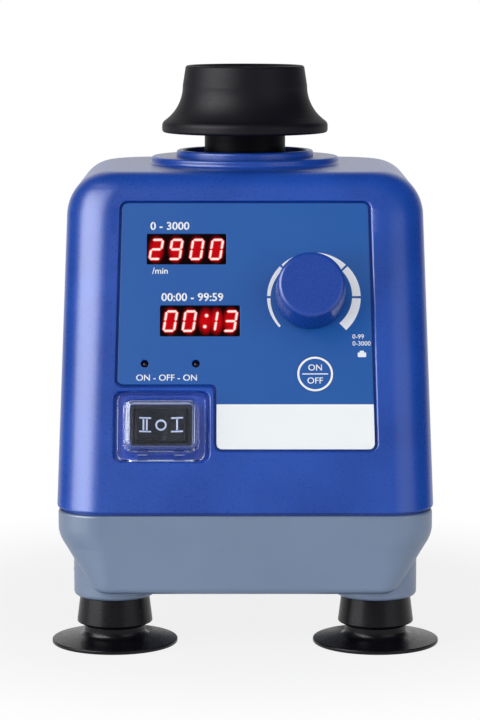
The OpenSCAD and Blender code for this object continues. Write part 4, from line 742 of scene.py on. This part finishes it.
def makeFoot(name, node, sx, sy):
    skirtZ = foot["height"] - foot["skirtH"]
    bm = bmesh.new()
    rim = foot["discR"] if sy < 0 else foot["rearDiscR"]
    neckR, fillet = foot["neckR"], foot["neckFillet"]
    profile = ([(0, foot["hollowH"]), (foot["hollowR"], foot["hollowH"]), (rim - 2.6, 0)]
               + arcPoints(rim - 0.4, 0.4, 0.4, 270, 360, 4) + arcPoints(rim - 0.4, 0.9, 0.4, 0, 80, 4)
               + arcPoints(neckR + fillet, 4.6, fillet, 262, 180, 10)
               + [(neckR, skirtZ - 1), (foot["skirtR"] - 0.6, skirtZ)]
               + arcPoints(foot["skirtR"] - 0.5, skirtZ + 0.55, 0.5, 290, 360, 4)
               + [(foot["topR"], foot["height"] - 0.3), (foot["topR"] - 0.3, foot["height"]),
                  (0, foot["height"])])
    latheInto(bm, profile, Matrix.Translation((sx * tray["footX"], sy * tray["footY"], 0)), 128)
    dress(smoothFaces(makeObject(name, bm), 30), rubberFoot, "chassis", "foot_rubber", node)


makeFoot("footFrontLeft", "foot_front_left", -1, -1)
makeFoot("footFrontRight", "foot_front_right", 1, -1)
makeFoot("footRearLeft", "foot_rear_left", -1, 1)
makeFoot("footRearRight", "foot_rear_right", 1, 1)

# touch cup: a waisted form with a wide lower rim and a dished top, on a post
cup = {"z": 166.5, "height": 23.6, "lipR": 21.1, "lipW": 2, "flangeR": 29.4, "edgeR": 2.3, "flareR": 15,
       "taper": 0.95, "lowR": 1, "dish": 6.5, "postR": 14.3, "spigotR": 9.05, "spigotH": 11.8}


def makeCup():
    flareX = cup["flangeR"] - cup["edgeR"]
    waist = cup["lipR"] + cup["taper"]
    lean = math.acos((waist + cup["flareR"] - flareX) / (cup["flareR"] + cup["edgeR"]))
    top = math.degrees(lean)
    edge = Vector((flareX + cup["edgeR"] * math.cos(lean), cup["edgeR"] * (1 + math.sin(lean))))
    centre = edge + cup["flareR"] * Vector((math.cos(lean), math.sin(lean)))
    dishW = cup["lipR"] - cup["lipW"]
    dishR = (dishW ** 2 + cup["dish"] ** 2) / (2 * cup["dish"])
    dishTurn = math.asin(dishW / dishR)
    profile = ([(0, cup["spigotH"]), (cup["spigotR"], cup["spigotH"]), (cup["spigotR"], 0.8),
                (cup["postR"] + 1, 0.8), (cup["postR"] + 3, 0)]
               + arcPoints(cup["flangeR"] - cup["lowR"], cup["lowR"], cup["lowR"], 270, 360, 8)
               + arcPoints(flareX, cup["edgeR"], cup["edgeR"], 0, top + 16, 12)
               + arcPoints(centre.x, centre.y, cup["flareR"], 178 + top, 180, 24)
               + arcPoints(cup["lipR"] - 1, cup["height"] - 1, 1, 5, 150, 10)
               + [(dishR * math.sin(dishTurn * k / 20) * 0.985,
                   cup["height"] - 0.5 - cup["dish"] + dishR * (1 - math.cos(dishTurn * k / 20)))
                  for k in range(20, -1, -1)])
    bm = bmesh.new()
    latheInto(bm, profile, headPlace @ Matrix.Translation((0, 0, cup["z"])), 192)
    dress(smoothFaces(makeObject("touchCup", bm), 40), rubberCup, "head", "cup_rubber", "touch_cup")


makeCup()
print("feet and cup made")


def makeKnob():
    low, high, r = knob["baseR"], knob["length"], knob["edge"]
    bm = bmesh.new()
    profile = ([(0, knob["hollowDepth"]), (knob["hollowR"], knob["hollowDepth"]),
                (knob["hollowR"], 0), (low - 0.4, 0)]
               + arcPoints(low - 0.4, 0.4, 0.4, 270, 360, 4)
               + arcPoints(knob["faceR"] - r, high - r, r, 3, 90, 12) + [(4, high - 0.02), (0, high)])
    latheInto(bm, profile, facePlace(knob["x"], knob["u"], filmTop + knob["lift"]), 160)
    dress(smoothFaces(makeObject("speedKnob", bm), 35), nylonBlue, "speed_knob", "knob_blue", "knob")


makeKnob()

# rocker with a shallow V-shaped face, seen along its pivot
rocker = {"halfW": 8.455, "h": 11.2, "pivotOut": -1.8, "tip": 4.0, "valley": 1.1, "edge": 0.35}


def rockerFace(x):
    return rocker["tip"] - rocker["valley"] + rocker["valley"] * abs(x) / (rocker["halfW"] - 0.7)


def makeRocker():
    w, tip = rocker["halfW"], rocker["tip"]
    pivot = facePlace(switch["x"], switch["u"], rocker["pivotOut"])
    outline = ([(-w + 1.6, -4), (w - 1.6, -4), (w, -0.6)] + arcPoints(w - 0.7, tip - 0.7, 0.7, 0, 82, 6)
               + [(0.5, tip - rocker["valley"] + 0.07), (0, tip - rocker["valley"]),
                  (-0.5, tip - rocker["valley"] + 0.07)]
               + arcPoints(0.7 - w, tip - 0.7, 0.7, 98, 180, 6) + [(-w, -0.6)])
    bm = bmesh.new()
    loftInto(bm, [[pivot @ Vector((x, side * rocker["h"] / 2, out)) for x, out in outline]
                  for side in (-1, 1)])
    piece = roundEdges(makeObject("rockerKey", bm), rocker["edge"], 3, 60)
    dress(smoothFaces(piece, 25), rockerAbs, "rocker", "rocker_black", "rocker")


def rockerMark(bm, path):
    # a thin printed plate that follows the rocker's face
    pivot = facePlace(switch["x"], switch["u"], rocker["pivotOut"])
    loftInto(bm, [[pivot @ Vector((x, y, rockerFace(x) + lift)) for x, y in path]
                  for lift in (-0.1, 0.03)])


def barPath(x, y, w, h, cuts=1):
    across = [x - w / 2 + w * k / cuts for k in range(cuts + 1)]
    return [(a, y - h / 2) for a in across] + [(a, y + h / 2) for a in reversed(across)]


def makeRockerMarks():
    bm = bmesh.new()
    for x in (-5.75, -4.65, 5.3):
        rockerMark(bm, barPath(x, 0, 0.55, 3.7))
    for x in (-5.2, 5.3):
        for y in (-2.3, 2.3):
            rockerMark(bm, barPath(x, y, 3.9, 0.5))
    pivot = facePlace(switch["x"], switch["u"], rocker["pivotOut"])
    flatRing(bm, pivot, 1.85, 1.3, rockerFace(0) - 0.1, rockerFace(1.85) + 0.03, 48)
    dress(makeObject("rockerMarks", bm), inkWhite, "rocker", "rocker_black")


makeRocker()
makeRockerMarks()

# clear boot over the switch: a skirt with two clip windows and a thin dome
boot = {"w": 29.2, "h": 22.9, "t": 7.4, "wall": 1, "skirt": 2.6, "domeW": 24.4, "domeH": 17.8, "cornerR": 3,
        "shoulder": 1.5, "clipPitch": 12.2, "clipW": 3.6, "clipH": 1.8, "clipT": 1.6}


def bootRing(w, h, r, out):
    place = facePlace(switch["x"], switch["u"], -switch["pocketT"] + 0.02)
    return [place @ Vector((x, y, out)) for x, y in boxPath(w, h, max(r, 0.4))]


def makeBoot():
    b, s = boot, boot["shoulder"]
    inner = s - 0.45
    quarter = [math.pi / 2 * k / 6 for k in range(7)]
    rings = []
    for t in reversed(quarter):
        cut = inner * (1 - math.cos(t))
        rings.append(bootRing(b["domeW"] - 2 * b["wall"] - 2 * cut, b["domeH"] - 2 * b["wall"] - 2 * cut,
                              b["cornerR"] - b["wall"] - cut * 0.4,
                              b["t"] - b["wall"] - inner * (1 - math.sin(t))))
    rings.append(bootRing(b["domeW"] - 2 * b["wall"], b["domeH"] - 2 * b["wall"],
                          b["cornerR"] - b["wall"], 0))
    rings.append(bootRing(b["w"], b["h"], b["cornerR"], 0))
    for t in quarter:
        cut = 0.5 * (1 - math.cos(t))
        rings.append(bootRing(b["w"] - 2 * cut, b["h"] - 2 * cut, b["cornerR"] - cut,
                              b["skirt"] - 0.5 * (1 - math.sin(t))))
    for t in quarter:
        cut = 0.4 * (1 - math.sin(t))
        rings.append(bootRing(b["domeW"] + 0.8 * (1 - math.sin(t)) + 0.1, b["domeH"] + 2 * cut + 0.1,
                              b["cornerR"], b["skirt"] + 0.4 * (1 - math.cos(t))))
    for t in quarter:
        cut = s * (1 - math.cos(t))
        rings.append(bootRing(b["domeW"] - 2 * cut, b["domeH"] - 2 * cut, b["cornerR"] - cut * 0.4,
                              b["t"] - s * (1 - math.sin(t))))
    bm = bmesh.new()
    loftInto(bm, rings)
    piece = makeObject("switchBoot", bm)
    bm = bmesh.new()
    place = facePlace(switch["x"], switch["u"], -switch["pocketT"])
    for sx in (-1, 1):
        at = place @ Matrix.Translation((sx * b["clipPitch"] / 2, -b["h"] / 2 + b["clipH"] / 2 - 0.5, 0))
        prismInto(bm, at, boxPath(b["clipW"], b["clipH"] + 1, 0.4, 3), b["skirt"] - b["clipT"],
                  b["skirt"] + 1)
    carve(piece, makeObject("clips", bm))
    dress(smoothFaces(piece, 35), clearPvc, "chassis", "clear_boot", "switch_boot")


makeBoot()
print("knob and switch made")

# seven-segment digits as raised plates: a pale core over a slightly larger red edge
litBars = {"0": "abcdef", "1": "bc", "2": "abged", "3": "abgcd", "9": "abcdfg"}


def barEnds(bar, grow):
    x = digit["w"] / 2 - digit["stroke"] / 2
    y = digit["h"] / 2 - digit["stroke"] / 2
    gap = digit["barGap"] - grow
    ends = {"a": ((-x + gap, y), (x - gap, y)), "b": ((x, y - gap), (x, gap)),
            "c": ((x, -gap), (x, gap - y)), "d": ((-x + gap, -y), (x - gap, -y)),
            "e": ((-x, -gap), (-x, gap - y)), "f": ((-x, y - gap), (-x, gap)),
            "g": ((-x + gap, 0), (x - gap, 0))}
    return ends[bar]


def barOutline(start, end, half):
    start, end = Vector(start), Vector(end)
    along = (end - start).normalized()
    side = Vector((-along.y, along.x)) * half
    reach = along * half
    return [start, start + reach - side, end - reach - side, end, end - reach + side, start + reach + side]


def drawDigits(bm, name, digits, grow, low, high):
    x0, u0 = display[name]
    lean = math.tan(math.radians(digit["slant"]))
    place = facePlace(x0, u0, display["face"])
    half = digit["stroke"] / 2 + grow
    for text, dx in digits:
        if text == ":":
            r = digit["dotR"] + grow
            for y in (-digit["dotY"], digit["dotY"]):
                path = [(dx + lean * y + r * math.cos(t), y + r * math.sin(t))
                        for t in [math.tau * k / 16 for k in range(16)]]
                prismInto(bm, place, path, low, high)
            continue
        for bar in litBars[text]:
            if text == "1":
                dx = dx - digit["w"] / 2 + digit["stroke"] / 2 if bar == "b" else dx
            path = [(dx + p.x + lean * p.y, p.y) for p in barOutline(*barEnds(bar, grow), half)]
            prismInto(bm, place, path, low, high)


def makeDigits():
    for name, digits in (("speed", speedDigits), ("timer", timerDigits)):
        for label, finish, grow, low, high in (("Edges", segmentEdge, digit["halo"], -0.05, 0.03),
                                               ("Cores", segmentCore, 0, -0.04, 0.06)):
            bm = bmesh.new()
            drawDigits(bm, name, digits, grow, low, high)
            dress(makeObject(name + label, bm), finish, "chassis", "display_red")


makeDigits()

# white screen print: text, place of its left end on the baseline, height of the capitals, weight
prints = [
    ("0 - 3000", -31.9, 97.9, 2.7, 0.02),
    ("/min", -31.2, 82.4, 2.1, 0.014),
    ("00:00 - 99:59", -28.0, 72.9, 2.7, 0.02),
    ("ON - OFF - ON", -36.2, 45.3, 2.1, 0.012),
    ("0-99", 35.7, 59.8, 1.5, 0.012),
    ("0-3000", 35.7, 57.4, 1.5, 0.012),
]
keyPrints = [("ON", 0, 1.2, 2.1, 0.008), ("OFF", 0, -3.3, 2.1, 0.008)]
capHeight = 0.69  # of the built-in font, as a share of its size
# parts of the small icon: place across and up the slope, width, height, corner
icon = [(38.8, 54.2, 2.8, 1.6, 0.3), (38.8, 55.3, 1.4, 0.6, 0.2)]
dial = {"x": 22.95, "u": 74.2, "outer": 15.65, "thin": 0.75, "thick": 3.3, "start": 222, "end": -47,
        "gap": 0.8}


def letteringInto(bm, text, x, u, height, weight, centred=False):
    curve = bpy.data.curves.new("lettering", "FONT")
    curve.body = text
    curve.offset = weight
    curve.resolution_u = 4
    holder = bpy.data.objects.new("lettering", curve)
    scene.collection.objects.link(holder)
    mesh = bpy.data.meshes.new_from_object(holder.evaluated_get(bpy.context.evaluated_depsgraph_get()))
    bpy.data.objects.remove(holder)
    grow = height / capHeight
    left = min(v.co.x for v in mesh.vertices)
    right = max(v.co.x for v in mesh.vertices)
    shift = (left + right) / 2 if centred else left
    flat = bmesh.new()
    flat.from_mesh(mesh)
    bmesh.ops.remove_doubles(flat, verts=flat.verts, dist=1e-5)
    solid = bmesh.ops.extrude_face_region(flat, geom=flat.faces[:])
    raised = {v for v in solid["geom"] if isinstance(v, bmesh.types.BMVert)}
    place = facePlace(x, u, filmTop)
    for v in flat.verts:
        lift = panel["ink"] if v in raised else panel["sunk"]
        v.co = place @ Vector(((v.co.x - shift) * grow, v.co.y * grow, lift))
    flat.to_mesh(mesh)
    flat.free()
    bm.from_mesh(mesh)
    bpy.data.meshes.remove(mesh)


def dialRing(bm):
    # the ring's width grows clockwise, with a gap at every 45 degrees
    place = facePlace(dial["x"], dial["u"], filmTop)
    sweep = dial["start"] - dial["end"]
    stops = [dial["start"], 180, 135, 90, 45, 0, dial["end"]]
    for first, last in zip(stops, stops[1:]):
        trim = math.degrees(dial["gap"] / 2 / dial["outer"])
        a = first - (trim if first != dial["start"] else 0)
        b = last + (trim if last != dial["end"] else 0)
        outer, inner = [], []
        for k in range(17):
            turn = a + (b - a) * k / 16
            width = dial["thin"] + (dial["thick"] - dial["thin"]) * (dial["start"] - turn) / sweep
            t = math.radians(turn)
            outer.append((dial["outer"] * math.cos(t), dial["outer"] * math.sin(t)))
            inner.append(((dial["outer"] - width) * math.cos(t), (dial["outer"] - width) * math.sin(t)))
        prismInto(bm, place, outer + inner[::-1], panel["sunk"], panel["ink"])


def makePrint():
    bm = bmesh.new()
    for text, x, u, height, weight in prints:
        letteringInto(bm, text, x, u, height, weight)
    dialRing(bm)
    for x, u, w, h, r in icon:
        prismInto(bm, facePlace(x, u, filmTop), boxPath(w, h, r, 3), panel["sunk"], panel["ink"])
    dress(makeObject("panelPrint", bm), inkWhite, "chassis", "overlay_blue")
    bm = bmesh.new()
    place = facePlace(key["x"], key["u"], filmTop)
    flatRing(bm, place, key["ringR"], key["ringInnerR"], panel["sunk"], panel["ink"], 96)
    prismInto(bm, place, barPath(0, 0, key["barW"], key["barH"]), panel["sunk"], panel["ink"])
    for text, x, u, height, weight in keyPrints:
        letteringInto(bm, text, key["x"] + x, key["u"] + u, height, weight, True)
    dress(makeObject("keyPrint", bm), inkWhite, "run_stop_key", "overlay_blue")


makePrint()
print("digits and print made")

# carriage springs at their free length: round wire in coils, closed at each end
spring = {"x": 30, "front": -0.5, "rear": 43.5, "seat": 32.6, "length": 17.4, "outer": 14.4, "wire": 1.6,
          "coils": 5, "travel": 1.5, "steps": 36, "sides": 10}


def makeSpring(name, node, x, y):
    wireR = spring["wire"] / 2
    coilR = spring["outer"] / 2 - wireR
    closed = spring["wire"] * 1.02
    free = spring["coils"] - 2
    pitch = (spring["length"] - spring["wire"] - 2 * closed) / free
    rings = []
    for k in range(spring["coils"] * spring["steps"] + 1):
        turn = k / spring["steps"]
        rise = (min(turn, 1) + max(turn - 1 - free, 0)) * closed + min(max(turn - 1, 0), free) * pitch
        rings.append([])
        for side in range(spring["sides"]):
            b = math.tau * side / spring["sides"]
            r, a = coilR + wireR * math.cos(b), math.tau * turn
            rings[-1].append(Vector((x + r * math.cos(a), y + r * math.sin(a),
                                     spring["seat"] + wireR + rise + wireR * math.sin(b))))
    bm = bmesh.new()
    loftInto(bm, rings)
    piece = dress(smoothFaces(makeObject(name, bm), 40), springWire, "chassis", "spring_steel", node)
    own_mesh(piece)


for end in ("front", "rear"):
    makeSpring(end + "LeftSpring", "spring_" + end + "_left", -spring["x"], spring[end])
    makeSpring(end + "RightSpring", "spring_" + end + "_right", spring["x"], spring[end])
print("springs made")

# small parts that show keep the solids' shape, with their edges broken to catch the light
edgeBreaks = {"switch_body": 0.3, "mains_inlet": 0.5, "fuse_drawer": 0.35, "inlet_pins": 0.2,
              "control_overlay": 0.12, "run_stop_key": 0.12}


def breakEdges(node, width):
    piece = frame["nodes"][node]
    weld = piece.modifiers.new("joined", "WELD")
    weld.merge_threshold = 0.00001
    bevel = piece.modifiers.new("edges", "BEVEL")
    bevel.width = width / 1000
    bevel.segments = 2
    bevel.angle_limit = math.radians(40)
    weights = piece.modifiers.new("weights", "WEIGHTED_NORMAL")
    weights.keep_sharp = True


for node, width in edgeBreaks.items():
    breakEdges(node, width)

# studio: softboxes at each side, and an even white surround
studio = {"ambient": 0.12, "frontGlow": 1.28, "glowFrom": (-0.35, -0.93, 0.1), "room": 0.06,
          "floorShadow": 0.15, "shadowReach": 0.2,
          "boxes": [
              # name, azimuth from the front, elevation, distance, width, height, level, what it lights
              ("leftSheenBox", -58, 32, 0.95, 0.85, 0.6, 1.9, "shine"),
              ("leftLowBox", -62, -3, 0.95, 0.8, 0.3, 0.5, "all"),
              ("rightSoftbox", 48, 16, 1.1, 0.8, 0.9, 0.24, "all")]}


def makeSoftbox(name, azimuth, elevation, distance, width, height, level, lit):
    lamp = bpy.data.lights.new(name, "AREA")
    lamp.shape = "RECTANGLE"
    lamp.size, lamp.size_y = width, height
    lamp.energy = 9.87 * distance ** 2 * level
    box = bpy.data.objects.new(name, lamp)
    box.visible_diffuse = lit == "all"
    a, e = math.radians(azimuth), math.radians(elevation)
    away = Vector((math.sin(a) * math.cos(e), -math.cos(a) * math.cos(e), math.sin(e)))
    box.location = Vector((0, 0, 0.1)) + away * distance
    box.rotation_euler = away.to_track_quat("Z", "Y").to_euler()
    scene.collection.objects.link(box)


def anyRay(tree, *kinds):
    # 1 for the kinds of ray given, such as what the camera, reflections and clear parts see
    ray = addNode(tree, "ShaderNodeLightPath")
    seen = ray.outputs[kinds[0]]
    for other in kinds[1:]:
        seen = addNode(tree, "ShaderNodeMath", None, {0: seen, 1: ray.outputs[other]},
                       operation="MAXIMUM").outputs["Value"]
    return seen


def makeSurround():
    # white to the camera; a dim room in front for reflections, and a soft frontal glow for the shading
    world = bpy.data.worlds.new("surround")
    scene.world = world
    world.use_nodes = True
    tree = world.node_tree
    toward = addNode(tree, "ShaderNodeTexCoord").outputs["Generated"]
    ahead = addNode(tree, "ShaderNodeVectorMath", {1: studio["glowFrom"]}, {0: toward},
                    operation="DOT_PRODUCT")
    glow = addNode(tree, "ShaderNodeMapRange",
                   {"To Min": studio["ambient"], "To Max": studio["ambient"] + studio["frontGlow"]},
                   {"Value": ahead.outputs["Value"]})
    behind = addNode(tree, "ShaderNodeVectorMath", {1: (0, 1, 0)}, {0: toward}, operation="DOT_PRODUCT")
    mirrored = addNode(tree, "ShaderNodeMapRange",
                       {"From Min": 0.55, "From Max": 0.95, "To Min": studio["room"]},
                       {"Value": behind.outputs["Value"]}, interpolation_type="SMOOTHSTEP")
    strength = glow.outputs["Result"]
    for level, kinds in ((mirrored.outputs["Result"], ("Is Glossy Ray",)),
                         (None, ("Is Camera Ray", "Is Transmission Ray"))):
        links = {"Factor": anyRay(tree, *kinds), "A": strength}
        if level is not None:
            links["B"] = level
        strength = pick(addNode(tree, "ShaderNodeMix", {"B": 1.0}, links).outputs, "Result")
    surround = tree.nodes["Background"]
    surround.inputs["Color"].default_value = (1, 1, 1, 1)
    tree.links.new(strength, surround.inputs["Strength"])


def makeStudio():
    for row in studio["boxes"]:
        makeSoftbox(*row)
    makeSurround()
    bm = bmesh.new()
    latheInto(bm, [(r, 0) for r in (0, 100, 300, 800, 3000)], steps=64)
    floor = makeObject("paleFloor", bm)
    material, tree, shader = startMaterial(
        "paleFloor", {"Base Color": (0.5, 0.5, 0.5, 1), "Roughness": 0.9})
    where = addNode(tree, "ShaderNodeTexCoord").outputs["Object"]
    reach = addNode(tree, "ShaderNodeVectorMath", None, {0: where}, operation="LENGTH")
    fade = addNode(tree, "ShaderNodeMapRange",
                   {"From Min": 0.08, "From Max": studio["shadowReach"],
                    "To Min": 1 - studio["floorShadow"]},
                   {"Value": reach.outputs["Value"]}, interpolation_type="SMOOTHSTEP")
    seen = anyRay(tree, "Is Camera Ray", "Is Glossy Ray", "Is Transmission Ray")
    share = addNode(tree, "ShaderNodeMath", None, {0: seen, 1: fade.outputs["Result"]},
                    operation="MULTIPLY")
    white = addNode(tree, "ShaderNodeEmission", {"Strength": 1.0})
    both = addNode(tree, "ShaderNodeMixShader", None,
                   {0: share.outputs["Value"], 1: shader.outputs["BSDF"], 2: white.outputs["Emission"]})
    tree.links.new(both.outputs["Shader"], tree.nodes["Material Output"].inputs["Surface"])
    floor.data.materials.append(material)


makeStudio()
print("studio made")
